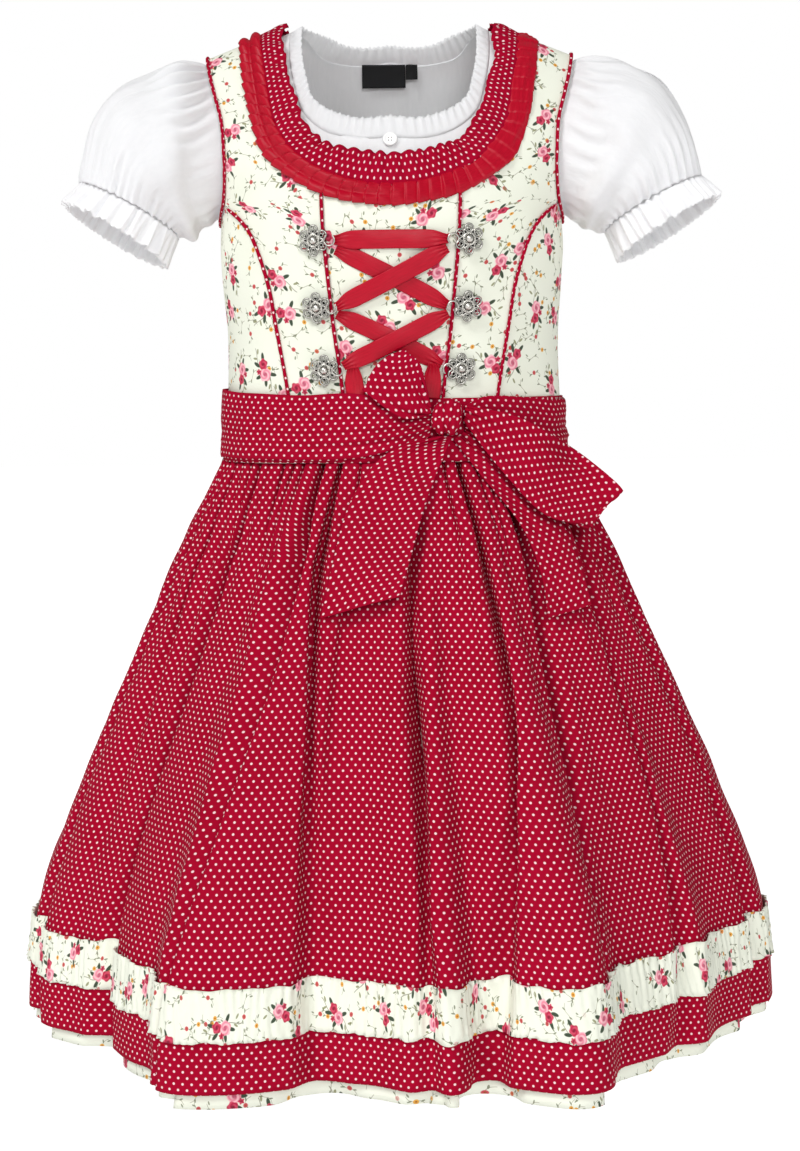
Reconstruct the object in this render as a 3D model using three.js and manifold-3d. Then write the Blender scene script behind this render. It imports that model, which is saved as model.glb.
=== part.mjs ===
// A child's dirndl set on a hollow, worn form: a puff-sleeved blouse, a sleeveless laced dress
// and a dotted apron tied in a bow. Millimetres, +Z up, the front faces -Y and +X is the viewer's
// right. The origin is midway between the shoulder tips, where the shoulders carry the set.
//
// The whole set is built from two forms. The torso form is a superellipse whose halves shrink to
// nothing at the sloping shoulder line. The skirt form is an ellipse that grows to the hem, with
// large folds. A place on a form is an angle round it, from the front centre to the viewer's
// right, and a height. Every piece is a thin wall between two distances from its form.
import * as THREE from "three";
import { mergeVertices } from "three/addons/utils/BufferGeometryUtils.js";
import Module from "manifold-3d";

const wasm = await Module();
wasm.setup();

// Driving sizes
const WAIST = -280; // height of the waist seam
const APRON_HEM = -670;
const SEAM = 0.3; // gap between pieces at a seam
const UNDERARM = -112;
const BLOUSE_FOOT = -135; // the cropped blouse ends under the bust
const SHOULDER = { tip: 131, height: 2, slope: 0.38 };
const ARMPIT_PLANE = -100; // below this height the torso is a plain tube
const ROUNDNESS = 2.2; // exponent of the torso's outline

// Distances from a form to the inner and outer face of each layer
const LAYER = {
  blouse: [-5.5, -4.5],
  bodice: [-1.5, 0],
  piping: [0.7, 2.3],
  ruffle_seam: [0.5, 1.8],
  ruffle_edge: [1.2, 3],
  lace_under: [0.6, 1.6],
  lace_middle: [1.9, 2.9],
  lace_over: [3.2, 4.2],
  skirt: [-1.5, 0],
  apron: [0.6, 2.1],
  trim: [2.5, 4.5],
  waistband: [0.6, 2.4],
  label: [-7.3, -6.3],
};

// Torso: half width, and depth to the front and to the back, at each height
const TORSO = [
  { z: -280, half: 120, front: 78, back: 74 },
  { z: -230, half: 118, front: 77, back: 72 },
  { z: -190, half: 117.5, front: 81, back: 74 },
  { z: -160, half: 119.5, front: 86, back: 77 },
  { z: -130, half: 121, front: 90, back: 79 },
  { z: -100, half: 121, front: 88, back: 78 },
  { z: -60, half: 131, front: 80, back: 74 },
  { z: -20, half: 137, front: 68, back: 66 },
  { z: 20, half: 136, front: 60, back: 62 },
];

// Seams of the bodice front, as the distance from the front centre at each level
const LACING_SEAM = [
  { level: -280, x: 32 },
  { level: -230, x: 34.5 },
  { level: -190, x: 39.5 },
  { level: -155, x: 43 },
  { level: -120, x: 46 },
  { level: -86, x: 47 },
];
const PRINCESS_SEAM = [
  { level: -280, x: 66 },
  { level: -234, x: 71.5 },
  { level: -182, x: 80 },
  { level: -158, x: 84 },
  { level: -127, x: 94 },
  { level: -113, x: 103 },
  { level: -100, x: 117.5 },
];

// Armhole from shoulder tip to underarm: the edge, and the far side of the piping on it.
// The back of the armhole is its mirror image.
const ARMHOLE = [
  { level: 0, angle: 70, pipe_level: 0, pipe_angle: 66 },
  { level: -3.4, angle: 69, pipe_level: -3.4, pipe_angle: 65.2 },
  { level: -13.4, angle: 66.2, pipe_level: -13.4, pipe_angle: 62.8 },
  { level: -29, angle: 62.6, pipe_level: -29, pipe_angle: 59.6 },
  { level: -50, angle: 60, pipe_level: -50, pipe_angle: 57 },
  { level: -74, angle: 63.2, pipe_level: -75.2, pipe_angle: 60.4 },
  { level: -95, angle: 72, pipe_level: -98, pipe_angle: 69.6 },
  { level: -106, angle: 81, pipe_level: -109.2, pipe_angle: 79.6 },
  { level: -112, angle: 90, pipe_level: -115.2, pipe_angle: 90 },
];

// Neck edge of the dress, with the free edges of its satin and dotted ruffles
const NECK_FRONT = [
  { x: 90, level: 0, satin_x: 104, satin_level: 0, dot_x: 71.5, dot_level: 0 },
  { x: 88.5, level: -11, satin_x: 103, satin_level: -8, dot_x: 71, dot_level: -15 },
  { x: 84.5, level: -32, satin_x: 100, satin_level: -30, dot_x: 68, dot_level: -32 },
  { x: 80, level: -54, satin_x: 95, satin_level: -52, dot_x: 62, dot_level: -47 },
  { x: 74, level: -65, satin_x: 88, satin_level: -71, dot_x: 56, dot_level: -61 },
  { x: 64, level: -76, satin_x: 77.5, satin_level: -83, dot_x: 46, dot_level: -71 },
  { x: 47, level: -86, satin_x: 52, satin_level: -97.5, dot_x: 36, dot_level: -74.5 },
  { x: 23, level: -93, satin_x: 23, satin_level: -104.5, dot_x: 17, dot_level: -79 },
  { x: 0, level: -94.5, satin_x: 0, satin_level: -107, dot_x: 0, dot_level: -80 },
];
const NECK_BACK = [
  { x: 90, level: 0, satin_x: 104, satin_level: 0, dot_x: 71.5, dot_level: 0 },
  { x: 86, level: -12, satin_x: 99, satin_level: -18, dot_x: 68, dot_level: -5 },
  { x: 74, level: -28, satin_x: 84, satin_level: -38, dot_x: 57, dot_level: -13 },
  { x: 52, level: -42, satin_x: 57, satin_level: -56, dot_x: 38, dot_level: -21 },
  { x: 26, level: -48, satin_x: 28, satin_level: -63, dot_x: 18, dot_level: -25 },
  { x: 0, level: -50, satin_x: 0, satin_level: -65, dot_x: 0, dot_level: -26 },
];

// Neck seam of the blouse and the free edge of its small frill
const BLOUSE_NECK_FRONT = [
  { x: 70, level: 0, edge_x: 62, edge_level: 0 },
  { x: 69, level: -20, edge_x: 61, edge_level: -20 },
  { x: 64.5, level: -39, edge_x: 57, edge_level: -36 },
  { x: 59, level: -52, edge_x: 53, edge_level: -46 },
  { x: 44, level: -63.5, edge_x: 40, edge_level: -55 },
  { x: 22, level: -70, edge_x: 20, edge_level: -61.5 },
  { x: 0, level: -70.5, edge_x: 0, edge_level: -62 },
];
const BLOUSE_NECK_BACK = [
  { x: 70, level: 0, edge_x: 62, edge_level: 0 },
  { x: 50, level: -17, edge_x: 44, edge_level: -9 },
  { x: 37, level: -23, edge_x: 33, edge_level: -15 },
  { x: 20, level: -27.5, edge_x: 18, edge_level: -19.5 },
  { x: 0, level: -29.5, edge_x: 0, edge_level: -22 },
];

// Puff sleeve: the highest and lowest point of each ring in the front view, its half depth,
// how far its middle lies behind the shoulder, and how far its back edge hangs below its front
const SLEEVE = [
  { top_x: 146, top_z: 0.5, foot_x: 129, foot_z: -113, depth: 46, y: 0, drop: 0 },
  { top_x: 168, top_z: -5, foot_x: 135, foot_z: -117, depth: 51, y: -2, drop: 3 },
  { top_x: 190, top_z: -18, foot_x: 140, foot_z: -120, depth: 51, y: -4, drop: 6 },
  { top_x: 209, top_z: -45, foot_x: 146, foot_z: -121, depth: 46, y: -6, drop: 9 },
  { top_x: 218.5, top_z: -84, foot_x: 151, foot_z: -120, depth: 34, y: -9, drop: 11 },
];
const SLEEVE_HEART = new THREE.Vector3(187, 0, -57); // the cloth leaves the armhole towards it
const SLEEVE_START = { under: -5, off: 1 };
const SLEEVE_TURN = { over_tip: -1.5, over_underarm: 2.8, off: 3.4 };
const SLEEVE_WALL = [-0.5, 0.5];
const SLEEVE_FRILL = [
  { top_x: 219, top_z: -84.8, foot_x: 151.4, foot_z: -120.9, depth: 34.4, y: -9.1, drop: 11 },
  { top_x: 230.5, top_z: -99, foot_x: 160, foot_z: -141, depth: 40, y: -12, drop: 14 },
];

// Skirt: half width at each height, and how much of the folds' full size shows there
const SKIRT = [
  { z: -280, half: 121, fold: 0 },
  { z: -300, half: 131, fold: 0.12 },
  { z: -345, half: 153.5, fold: 0.28 },
  { z: -410, half: 182, fold: 0.48 },
  { z: -500, half: 221, fold: 0.72 },
  { z: -600, half: 257, fold: 0.92 },
  { z: -680, half: 265, fold: 1 },
];
const SKIRT_DEPTH = { waist_front: 78, waist_back: 74, hem_front: 225, hem_back: 212 };

// Largest folds: the angle of the middle, the half width in degrees, how far it stands out at
// the hem, and how many degrees its crest leans to the side
const FOLDS = [
  { at: -90, half: 16, out: 5, lean: 0 },
  { at: -56, half: 18, out: -20, lean: 0 },
  { at: -24, half: 16, out: 40, lean: -5 },
  { at: -8, half: 9, out: -8, lean: 0 },
  { at: 4, half: 8, out: 20, lean: 2 },
  { at: 12, half: 7, out: -6, lean: 0 },
  { at: 21, half: 13, out: 40, lean: 3 },
  { at: 42, half: 12, out: -6, lean: 0 },
  { at: 62, half: 16, out: -16, lean: 0 },
  { at: 90, half: 14, out: 5, lean: 0 },
  { at: 116, half: 14, out: -16, lean: 0 },
  { at: 138, half: 13, out: 24, lean: 4 },
  { at: 158, half: 12, out: -14, lean: 0 },
  { at: 178, half: 13, out: 20, lean: -3 },
  { at: -160, half: 12, out: -12, lean: 0 },
  { at: -137, half: 14, out: 26, lean: -4 },
  { at: -114, half: 13, out: -16, lean: 0 },
];
const APRON_REACH = 108; // the apron ends this many degrees from the front centre
const SKIRT_STEP = 6; // degrees between the columns of the skirt, the apron and the bands
const TRIM_BAND = { top: -605, foot: -636 };
const WAISTBAND = { top: -236, foot: -279.5 };

// Sash ends over the waistband, unrolled from the knot round to the back, where they cross one
// above the other and change places
const SASH_LEFT = [
  { at: 10.5, top: -241, foot: -262, lift: 3.2 },
  { at: 0, top: -235, foot: -271, lift: 3 },
  { at: -12, top: -232, foot: -277, lift: 3 },
  { at: -30, top: -233, foot: -278, lift: 3 },
  { at: -90, top: -229, foot: -277, lift: 3 },
  { at: -132, top: -231, foot: -277, lift: 3 },
  { at: -168, top: -234, foot: -255, lift: 3 },
  { at: -192, top: -236, foot: -256, lift: 0.6 },
  { at: -228, top: -236, foot: -276, lift: 0.6 },
  { at: -251.7, top: -236, foot: -278, lift: 0.6 },
];
const SASH_RIGHT = [
  { at: 21.5, top: -241, foot: -262, lift: 3.2 },
  { at: 30, top: -235, foot: -273, lift: 3 },
  { at: 60, top: -238, foot: -277, lift: 3 },
  { at: 90, top: -238, foot: -277, lift: 3 },
  { at: 132, top: -235, foot: -278, lift: 3 },
  { at: 168, top: -257.5, foot: -278, lift: 3 },
  { at: 192, top: -257.5, foot: -278, lift: 0.6 },
  { at: 228, top: -238, foot: -278, lift: 0.6 },
  { at: 251.7, top: -236, foot: -278, lift: 0.6 },
];
const SASH_WALL = 1.2;

// The bow: each ribbon is a row of two edge points in the front view with their lifts off the
// form beneath. A loop runs out and comes back under itself.
const KNOT = { x: 36, z: -249, lift: 9.6, width: 10, depth: 6.2, height: 13 };
const LOOP_LEFT = [
  { ax: 24, az: -240, a_lift: 9, bx: 25, bz: -247, b_lift: 9 },
  { ax: 18, az: -216, a_lift: 15, bx: 6, bz: -249, b_lift: 12 },
  { ax: 8, az: -203, a_lift: 14, bx: -17, bz: -233, b_lift: 11 },
  { ax: 6, az: -202, a_lift: 9, bx: -18, bz: -231, b_lift: 7.5 },
  { ax: 17, az: -217, a_lift: 6, bx: 5, bz: -247, b_lift: 5.8 },
  { ax: 23, az: -240, a_lift: 5.6, bx: 24, bz: -246, b_lift: 5.6 },
];
const LOOP_RIGHT = [
  { ax: 49, az: -242, a_lift: 10, bx: 48, bz: -252, b_lift: 10 },
  { ax: 84, az: -249, a_lift: 24, bx: 72, bz: -284, b_lift: 20 },
  { ax: 120, az: -269, a_lift: 46, bx: 102, bz: -315, b_lift: 24 },
  { ax: 153, az: -296, a_lift: 60, bx: 132, bz: -324, b_lift: 34 },
  { ax: 151, az: -298, a_lift: 54, bx: 130, bz: -326, b_lift: 28 },
  { ax: 116, az: -270, a_lift: 36, bx: 99, bz: -312, b_lift: 16 },
  { ax: 82, az: -251, a_lift: 17, bx: 71, bz: -279, b_lift: 14 },
  { ax: 49, az: -243, a_lift: 5.8, bx: 48, bz: -251, b_lift: 5.8 },
];
const TAIL_LEFT = [
  { ax: 40, az: -262.2, a_lift: 9, bx: 31, bz: -262.2, b_lift: 9 },
  { ax: 36, az: -271, a_lift: 7, bx: 3, bz: -269, b_lift: 7 },
  { ax: 29, az: -287, a_lift: 7, bx: -16, bz: -283, b_lift: 6 },
  { ax: 20, az: -310, a_lift: 7, bx: -31, bz: -308, b_lift: 6 },
  { ax: 11, az: -339, a_lift: 7, bx: -41, bz: -342, b_lift: 6 },
  { ax: 3, az: -366, a_lift: 8, bx: -50, bz: -379, b_lift: 7 },
];
const TAIL_RIGHT = [
  { ax: 48, az: -259, a_lift: 6, bx: 41, bz: -264, b_lift: 6 },
  { ax: 78, az: -281, a_lift: 7, bx: 58, bz: -287, b_lift: 7 },
  { ax: 112, az: -318, a_lift: 12, bx: 86, bz: -322, b_lift: 8 },
  { ax: 126, az: -350, a_lift: 12, bx: 99, bz: -356, b_lift: 7 },
  { ax: 133, az: -378, a_lift: 12, bx: 103, bz: -384, b_lift: 7 },
];
const BOW_WALL = 1.4;

// Ornamental hooks on the lacing seams and the satin lace threaded through them
const HOOKS = [
  { name: "hook_top", x: 51.5, level: -129, eye_x: 40 },
  { name: "hook_middle", x: 50.5, level: -173.5, eye_x: 39.5 },
  { name: "hook_low", x: 46, level: -216, eye_x: 36.5 },
];
const HOOK = { petals: 6, radius: 8.6, scallop: 2.4, plate: 1.7, dome: 3.6, seat: 2.6 };
const EYE = { radius: 4.1, hole: 2.3 };
const LACE_HALF_WIDTH = 6.2;
const LACE = [
  { name: "lace_top", from_x: -35, from_level: -129, to_x: 35, to_level: -129, layer: "lace_middle" },
  { name: "lace_upper_under", from_x: -35, from_level: -136, to_x: 35, to_level: -172, layer: "lace_under" },
  { name: "lace_upper_over", from_x: 35, from_level: -136, to_x: -35, to_level: -172, layer: "lace_over" },
  { name: "lace_lower_under", from_x: -35, from_level: -179, to_x: 31, to_level: -212, layer: "lace_under" },
  { name: "lace_lower_over", from_x: 35, from_level: -179, to_x: -31, to_level: -212, layer: "lace_over" },
];
const LACE_TAIL = { x: 26, top: -214, foot: -231.4 };

const BUTTON = { z: -60, radius: 4.8, thickness: 2, seat: -4.1 };
const LABELS = [
  { name: "neck_label", left: -21, right: 12, top: -27, foot: -38 },
  { name: "size_tab", left: 12.4, right: 21, top: -27, foot: -34 },
];

// Finishes
const FINISH = {
  floral: { color: 0xe6e4d3, roughness: 0.85, metalness: 0 },
  dotted: { color: 0xb01233, roughness: 0.8, metalness: 0 },
  satin: { color: 0xc91635, roughness: 0.35, metalness: 0 },
  white: { color: 0xf7f7f7, roughness: 0.85, metalness: 0 },
  silver: { color: 0xa8a59c, roughness: 0.35, metalness: 1 },
  black: { color: 0x101010, roughness: 0.7, metalness: 0 },
};

const DEGREE = Math.PI / 180;
const lerp = (a, b, t) => a + (b - a) * t;
const up = new THREE.Vector3(0, 0, 1);

// A column of a table at a key, straight between its rows; the key may rise or fall
function lookup(table, key, column, value) {
  const rising = table[0][key] < table[table.length - 1][key];
  for (let i = 1; i < table.length; i++) {
    const a = table[i - 1];
    const b = table[i];
    const inside = rising ? value <= b[key] : value >= b[key];
    if (inside || i === table.length - 1) {
      const t = THREE.MathUtils.clamp((value - a[key]) / (b[key] - a[key]), 0, 1);
      return lerp(a[column], b[column], t);
    }
  }
}

// The same, on a smooth curve through the rows of a rising table
function smooth(table, key, column, value) {
  const last = table.length - 1;
  const found = table.findIndex((row) => row[key] > value);
  const i = THREE.MathUtils.clamp((found < 0 ? last + 1 : found) - 1, 0, last - 1);
  const slope = (k) => {
    const a = table[Math.max(0, k - 1)];
    const b = table[Math.min(last, k + 1)];
    return (b[column] - a[column]) / (b[key] - a[key]);
  };
  const width = table[i + 1][key] - table[i][key];
  const s = THREE.MathUtils.clamp((value - table[i][key]) / width, 0, 1);
  const rise = table[i + 1][column] - table[i][column];
  const startPull = slope(i) * width;
  const endPull = slope(i + 1) * width;
  const square = 3 * rise - 2 * startPull - endPull;
  const cube = startPull + endPull - 2 * rise;
  return table[i][column] + s * (startPull + s * (square + s * cube));
}

// A table's row number, fractions allowed, turned into values of all its columns
function rowAt(table, index) {
  const i = Math.min(Math.floor(index), table.length - 2);
  const row = {};
  for (const column of Object.keys(table[0])) {
    row[column] = lerp(table[i][column], table[i + 1][column], index - i);
  }
  return row;
}

// The torso form

const shoulderHeight = (x) => SHOULDER.height + SHOULDER.slope * (SHOULDER.tip - Math.abs(x));

// Levels are heights below the armpit plane, and 0 all along the shoulder line
function heightAt(x, level) {
  if (level < ARMPIT_PLANE) return level;
  return lerp(ARMPIT_PLANE, shoulderHeight(x), 1 - level / ARMPIT_PLANE);
}

function levelAt(x, z) {
  if (z < ARMPIT_PLANE) return z;
  return lerp(ARMPIT_PLANE, 0, (z - ARMPIT_PLANE) / (shoulderHeight(x) - ARMPIT_PLANE));
}

// Zero on the form, negative inside and positive outside
function torsoField(x, y, z) {
  const half = smooth(TORSO, "z", "half", z);
  const depth = smooth(TORSO, "z", y < 0 ? "front" : "back", z);
  const rise = Math.max(0, (z - ARMPIT_PLANE) / (shoulderHeight(x) - ARMPIT_PLANE));
  const closing = 1 - rise ** ROUNDNESS;
  return ((Math.abs(x) / half) ** ROUNDNESS - 1) * closing + (Math.abs(y) / depth) ** ROUNDNESS;
}

function torsoNormal(p) {
  const h = 0.5;
  const n = new THREE.Vector3(
    torsoField(p.x + h, p.y, p.z) - torsoField(p.x - h, p.y, p.z),
    torsoField(p.x, p.y + h, p.z) - torsoField(p.x, p.y - h, p.z),
    torsoField(p.x, p.y, p.z + h) - torsoField(p.x, p.y, p.z - h),
  );
  return n.normalize();
}

// A spot is a point with the direction that leads off the cloth there
function torsoSpot(angle, level) {
  const sine = Math.sin(angle * DEGREE);
  const cosine = Math.cos(angle * DEGREE);
  const reach = Math.abs(sine) ** (2 / ROUNDNESS) * Math.sign(sine);
  let x = reach * smooth(TORSO, "z", "half", level);
  for (let i = 0; i < 5; i++) x = reach * smooth(TORSO, "z", "half", heightAt(x, level));
  const z = heightAt(x, level);
  const depth = smooth(TORSO, "z", cosine > 0 ? "front" : "back", z);
  const closing = 1 - Math.max(0, 1 - level / ARMPIT_PLANE) ** ROUNDNESS;
  const y = -Math.sign(cosine) * depth * Math.max(0, Math.abs(cosine) ** 2 * closing) ** (1 / ROUNDNESS);
  const point = new THREE.Vector3(x, y, z);
  return { point, normal: torsoNormal(point) };
}

// The angle of a place on the front that is x from the centre
function angleAt(x, level) {
  const half = smooth(TORSO, "z", "half", heightAt(x, level));
  return Math.asin(Math.min(1, Math.abs(x) / half) ** (ROUNDNESS / 2)) / DEGREE * Math.sign(x);
}

const frontSpot = (x, level) => torsoSpot(angleAt(x, level), level);
const backSpot = (x, level) => torsoSpot(180 - angleAt(x, level), level);

// The skirt form

function foldsAt(angle) {
  let out = 0;
  let lean = 0;
  for (const fold of FOLDS) {
    const away = THREE.MathUtils.euclideanModulo(angle - fold.at + 180, 360) - 180;
    if (Math.abs(away) < fold.half) {
      const swell = Math.cos((Math.PI / 2) * (away / fold.half)) ** 2;
      out += fold.out * swell;
      lean += fold.lean * swell;
    }
  }
  return { out, lean };
}

function skirtPoint(angle, z) {
  const half = lookup(SKIRT, "z", "half", z);
  const share = lookup(SKIRT, "z", "fold", z);
  const flare = (half - SKIRT[0].half) / (SKIRT[SKIRT.length - 1].half - SKIRT[0].half);
  const { out, lean } = foldsAt(angle);
  const turn = (angle + lean * share) * DEGREE;
  const front = lerp(SKIRT_DEPTH.waist_front, SKIRT_DEPTH.hem_front, flare);
  const back = lerp(SKIRT_DEPTH.waist_back, SKIRT_DEPTH.hem_back, flare);
  const depth = Math.cos(turn) > 0 ? front : back;
  const away = new THREE.Vector3(Math.sin(turn) / half, -Math.cos(turn) / depth, 0).normalize();
  const point = new THREE.Vector3(half * Math.sin(turn), -depth * Math.cos(turn), z);
  return point.addScaledVector(away, out * share);
}

function skirtSpot(angle, z) {
  const point = skirtPoint(angle, z);
  const across = skirtPoint(angle + 2, z).sub(skirtPoint(angle - 2, z));
  const upwards = skirtPoint(angle, z + 6).sub(skirtPoint(angle, z - 6));
  const normal = across.cross(upwards).normalize();
  if (z > SKIRT[1].z) normal.setZ(0).normalize();
  return { point, normal };
}

// Depth of the set's front at a place of the front view, apron folds and all
function frontDepth(x, z) {
  if (z > WAIST) return frontSpot(x, levelAt(x, z)).point.y;
  let depth = 0;
  let last = skirtPoint(-90, z);
  for (let angle = -88; angle <= 90; angle += 2) {
    const next = skirtPoint(angle, z);
    if ((last.x - x) * (next.x - x) <= 0) {
      depth = Math.min(depth, lerp(last.y, next.y, (x - last.x) / (next.x - last.x || 1)));
    }
    last = next;
  }
  return depth;
}

// Walls

// A closed wall over a grid of spots. Each spot's inner and outer distance comes from the layer
// or, where a wall changes its distance, from a function of the row.
function wall(grid, layer, ring = false) {
  const rows = grid.length;
  const columns = grid[0].length;
  const position = [];
  const distances = typeof layer === "function" ? layer : () => layer;
  for (const side of [1, 0]) {
    for (const [i, row] of grid.entries()) {
      for (const spot of row) {
        const p = spot.point.clone().addScaledVector(spot.normal, distances(i, spot)[side]);
        position.push(p.x, p.y, p.z);
      }
    }
  }
  const id = (side, i, j) => (side * rows + i) * columns + (j % columns);
  const faces = [];
  const quad = (a, b, c, d) => faces.push(a, b, c, a, c, d);
  const across = ring ? columns : columns - 1;
  for (let j = 0; j < across; j++) {
    for (let i = 0; i < rows - 1; i++) {
      quad(id(0, i, j), id(0, i, j + 1), id(0, i + 1, j + 1), id(0, i + 1, j));
      quad(id(1, i, j), id(1, i + 1, j), id(1, i + 1, j + 1), id(1, i, j + 1));
    }
    quad(id(0, 0, j + 1), id(0, 0, j), id(1, 0, j), id(1, 0, j + 1));
    quad(id(0, rows - 1, j), id(0, rows - 1, j + 1), id(1, rows - 1, j + 1), id(1, rows - 1, j));
  }
  for (let i = 0; i < rows - 1 && !ring; i++) {
    quad(id(0, i, 0), id(0, i + 1, 0), id(1, i + 1, 0), id(1, i, 0));
    quad(id(0, i + 1, columns - 1), id(0, i, columns - 1), id(1, i, columns - 1), id(1, i + 1, columns - 1));
  }
  return outwards(position, faces);
}

// Turns all faces over where the body would be inside out
function outwards(position, faces) {
  const corner = (k) => new THREE.Vector3(...position.slice(3 * k, 3 * k + 3));
  let volume = 0;
  for (let f = 0; f < faces.length; f += 3) {
    volume += corner(faces[f]).dot(corner(faces[f + 1]).cross(corner(faces[f + 2])));
  }
  const geometry = new THREE.BufferGeometry();
  geometry.setAttribute("position", new THREE.Float32BufferAttribute(position, 3));
  geometry.setIndex(volume < 0 ? [...faces].reverse() : faces);
  return geometry;
}

// Spots for a grid of free points, with directions square to the cloth
function spots(points, ring = false) {
  const columns = points[0].length;
  return points.map((row, i) => row.map((point, j) => {
    const below = points[Math.max(0, i - 1)][j];
    const above = points[Math.min(points.length - 1, i + 1)][j];
    const before = row[ring ? (j + columns - 1) % columns : Math.max(0, j - 1)];
    const after = row[ring ? (j + 1) % columns : Math.min(columns - 1, j + 1)];
    const normal = after.clone().sub(before).cross(above.clone().sub(below)).normalize();
    return { point, normal };
  }));
}

// A grid from a function of two shares, each from 0 to 1
function gridOf(rows, columns, spotAt) {
  const grid = [];
  for (let i = 0; i <= rows; i++) {
    const row = [];
    for (let j = 0; j <= columns; j++) row.push(spotAt(j / columns, i / rows));
    grid.push(row);
  }
  return grid;
}

const mirrored = (spot) => ({
  point: new THREE.Vector3(-spot.point.x, spot.point.y, spot.point.z),
  normal: new THREE.Vector3(-spot.normal.x, spot.normal.y, spot.normal.z),
});
const sided = (grid, side) => (side > 0 ? grid : grid.map((row) => row.map(mirrored)));

const set = new THREE.Group();

function add(name, geometry, finish) {
  const mesh = new THREE.Mesh(geometry, new THREE.MeshStandardMaterial(FINISH[finish]));
  mesh.name = name;
  set.add(mesh);
  return mesh;
}

const SIDES = [
  { name: "left", sign: -1 },
  { name: "right", sign: 1 },
];
const HALF_SEAM = SEAM / 2;
const MID_SHOULDER = { x: 110, level: 0 };

// Keeps a spot clear of the seam plane where the front and back pieces meet
function clearOf(spot, axis, sign) {
  const value = spot.point.getComponent(axis);
  if (value * sign < HALF_SEAM) spot.point.setComponent(axis, sign * HALF_SEAM);
  return spot;
}

const onFront = (angle, level) => clearOf(torsoSpot(angle, level), 1, -1);
const onBack = (angle, level) => clearOf(torsoSpot(180 - angle, level), 1, 1);

// Bodice: a plastron between the lacing seams, fronts, side fronts and backs

const bodiceFoot = WAIST + SEAM;
const edgeAngle = (seam, level, shift) => angleAt(lookup(seam, "level", "x", level) + shift, level);

// Rows shared by the pieces that meet along the front seams
const FRONT_ROWS = [bodiceFoot, -255, -230, -210, -190, -160, -130, -113, -106.5];

function buildPlastron() {
  const columns = [-1, -0.5, 0, 0.5, 1];
  const seamTop = LACING_SEAM[LACING_SEAM.length - 1];
  const topAt = (side) => lookup(NECK_FRONT, "x", "level", Math.abs(side) * seamTop.x);
  const levels = [...FRONT_ROWS, ARMPIT_PLANE].map((level) => () => level);
  const grid = [...levels, topAt].map((levelOf) => columns.map((side) => {
    const level = levelOf(side);
    const edge = lookup(LACING_SEAM, "level", "x", level) - HALF_SEAM;
    return frontSpot(side * edge, level);
  }));
  add("bodice_plastron", wall(grid, LAYER.bodice), "floral");
}

function buildFront({ name, sign }) {
  const seamTop = LACING_SEAM[LACING_SEAM.length - 1].level;
  const levels = [...FRONT_ROWS, ARMPIT_PLANE, -95, seamTop, -74, -50, -29, -13.4, -3.4, 0];
  const grid = levels.map((level) => [0, 0.25, 0.5, 0.75, 1].map((u) => {
    const inner = level <= seamTop
      ? edgeAngle(LACING_SEAM, level, HALF_SEAM)
      : angleAt(lookup(NECK_FRONT, "level", "x", level), level);
    const outer = level <= ARMPIT_PLANE
      ? edgeAngle(PRINCESS_SEAM, level, -HALF_SEAM)
      : lookup(ARMHOLE, "level", "angle", level);
    return onFront(lerp(inner, outer, u), level);
  }));
  add(`bodice_front_${name}`, wall(sided(grid, sign), LAYER.bodice), "floral");
}

function buildSideFront({ name, sign }) {
  const seamTop = PRINCESS_SEAM[PRINCESS_SEAM.length - 1];
  const join = angleAt(seamTop.x, seamTop.level);
  const armholeTop = (u) => lookup(ARMHOLE, "angle", "level", lerp(join, 90, u)) - SEAM;
  const topOf = (u) => Math.min(armholeTop(u), ARMPIT_PLANE - SEAM);
  const levels = FRONT_ROWS.map((level) => (u) => Math.min(level, topOf(u) - SEAM));
  const grid = [...levels, topOf].map((levelOf) => [0, 0.25, 0.5, 0.75, 1].map((u) => {
    const level = levelOf(u);
    return onFront(lerp(edgeAngle(PRINCESS_SEAM, level, HALF_SEAM), 90, u), level);
  }));
  add(`bodice_side_front_${name}`, wall(sided(grid, sign), LAYER.bodice), "floral");
}

// A grid from the side seam and the armhole across to the centre of the front or the back. Its
// upper rows fan out from the underarm to the shoulder seam and the neck edge.
function yoke(neck, lowLevels, place) {
  const top = [ARMHOLE[0], ...neck.map(({ x, level }) => ({ angle: angleAt(x, level), level }))];
  const across = top.map((_, j) => 90 * (1 - j / (top.length - 1)));
  const low = lowLevels.map((level) => across.map((angle) => place(angle, level)));
  const high = [...ARMHOLE].reverse().map((edge) => {
    const share = 1 - edge.level / UNDERARM;
    const fit = edge.angle / lerp(90, ARMHOLE[0].angle, share);
    return top.map((end, j) =>
      place(lerp(across[j], end.angle, share) * fit, lerp(UNDERARM, end.level, share)));
  });
  return [...low, ...high];
}

function buildBack({ name, sign }) {
  const neck = [MID_SHOULDER, ...NECK_BACK];
  const grid = yoke(neck, [bodiceFoot, -255, -230, -190, -160, -130], onBack);
  grid.forEach((row) => clearOf(row[row.length - 1], 0, 1));
  add(`bodice_back_${name}`, wall(sided(grid, sign), LAYER.bodice), "floral");
}

buildPlastron();
SIDES.forEach(buildFront);
SIDES.forEach(buildSideFront);
SIDES.forEach(buildBack);

// Piping of the dotted cotton along the lacing seams, princess seams and armholes

const PIPING_HALF_WIDTH = 1.5;
const PIPING_FOOT = -235; // it goes on under the waistband

function buildSeamPiping(name, seam, top, { name: side, sign }) {
  const between = FRONT_ROWS.filter((level) => level > PIPING_FOOT && level < top);
  const grid = [PIPING_FOOT, ...between, top].map((level) => [-1, 1].map((edge) =>
    frontSpot(lookup(seam, "level", "x", level) + edge * PIPING_HALF_WIDTH, level)));
  add(`piping_${name}_${side}`, wall(sided(grid, sign), LAYER.piping), "dotted");
}

// Angle and level round the armhole, from the shoulder tip by the front to the underarm and
// back up; the ring of places is shared by the piping and the sleeve
const ARMHOLE_STATIONS = 2 * (ARMHOLE.length - 1);

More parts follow.
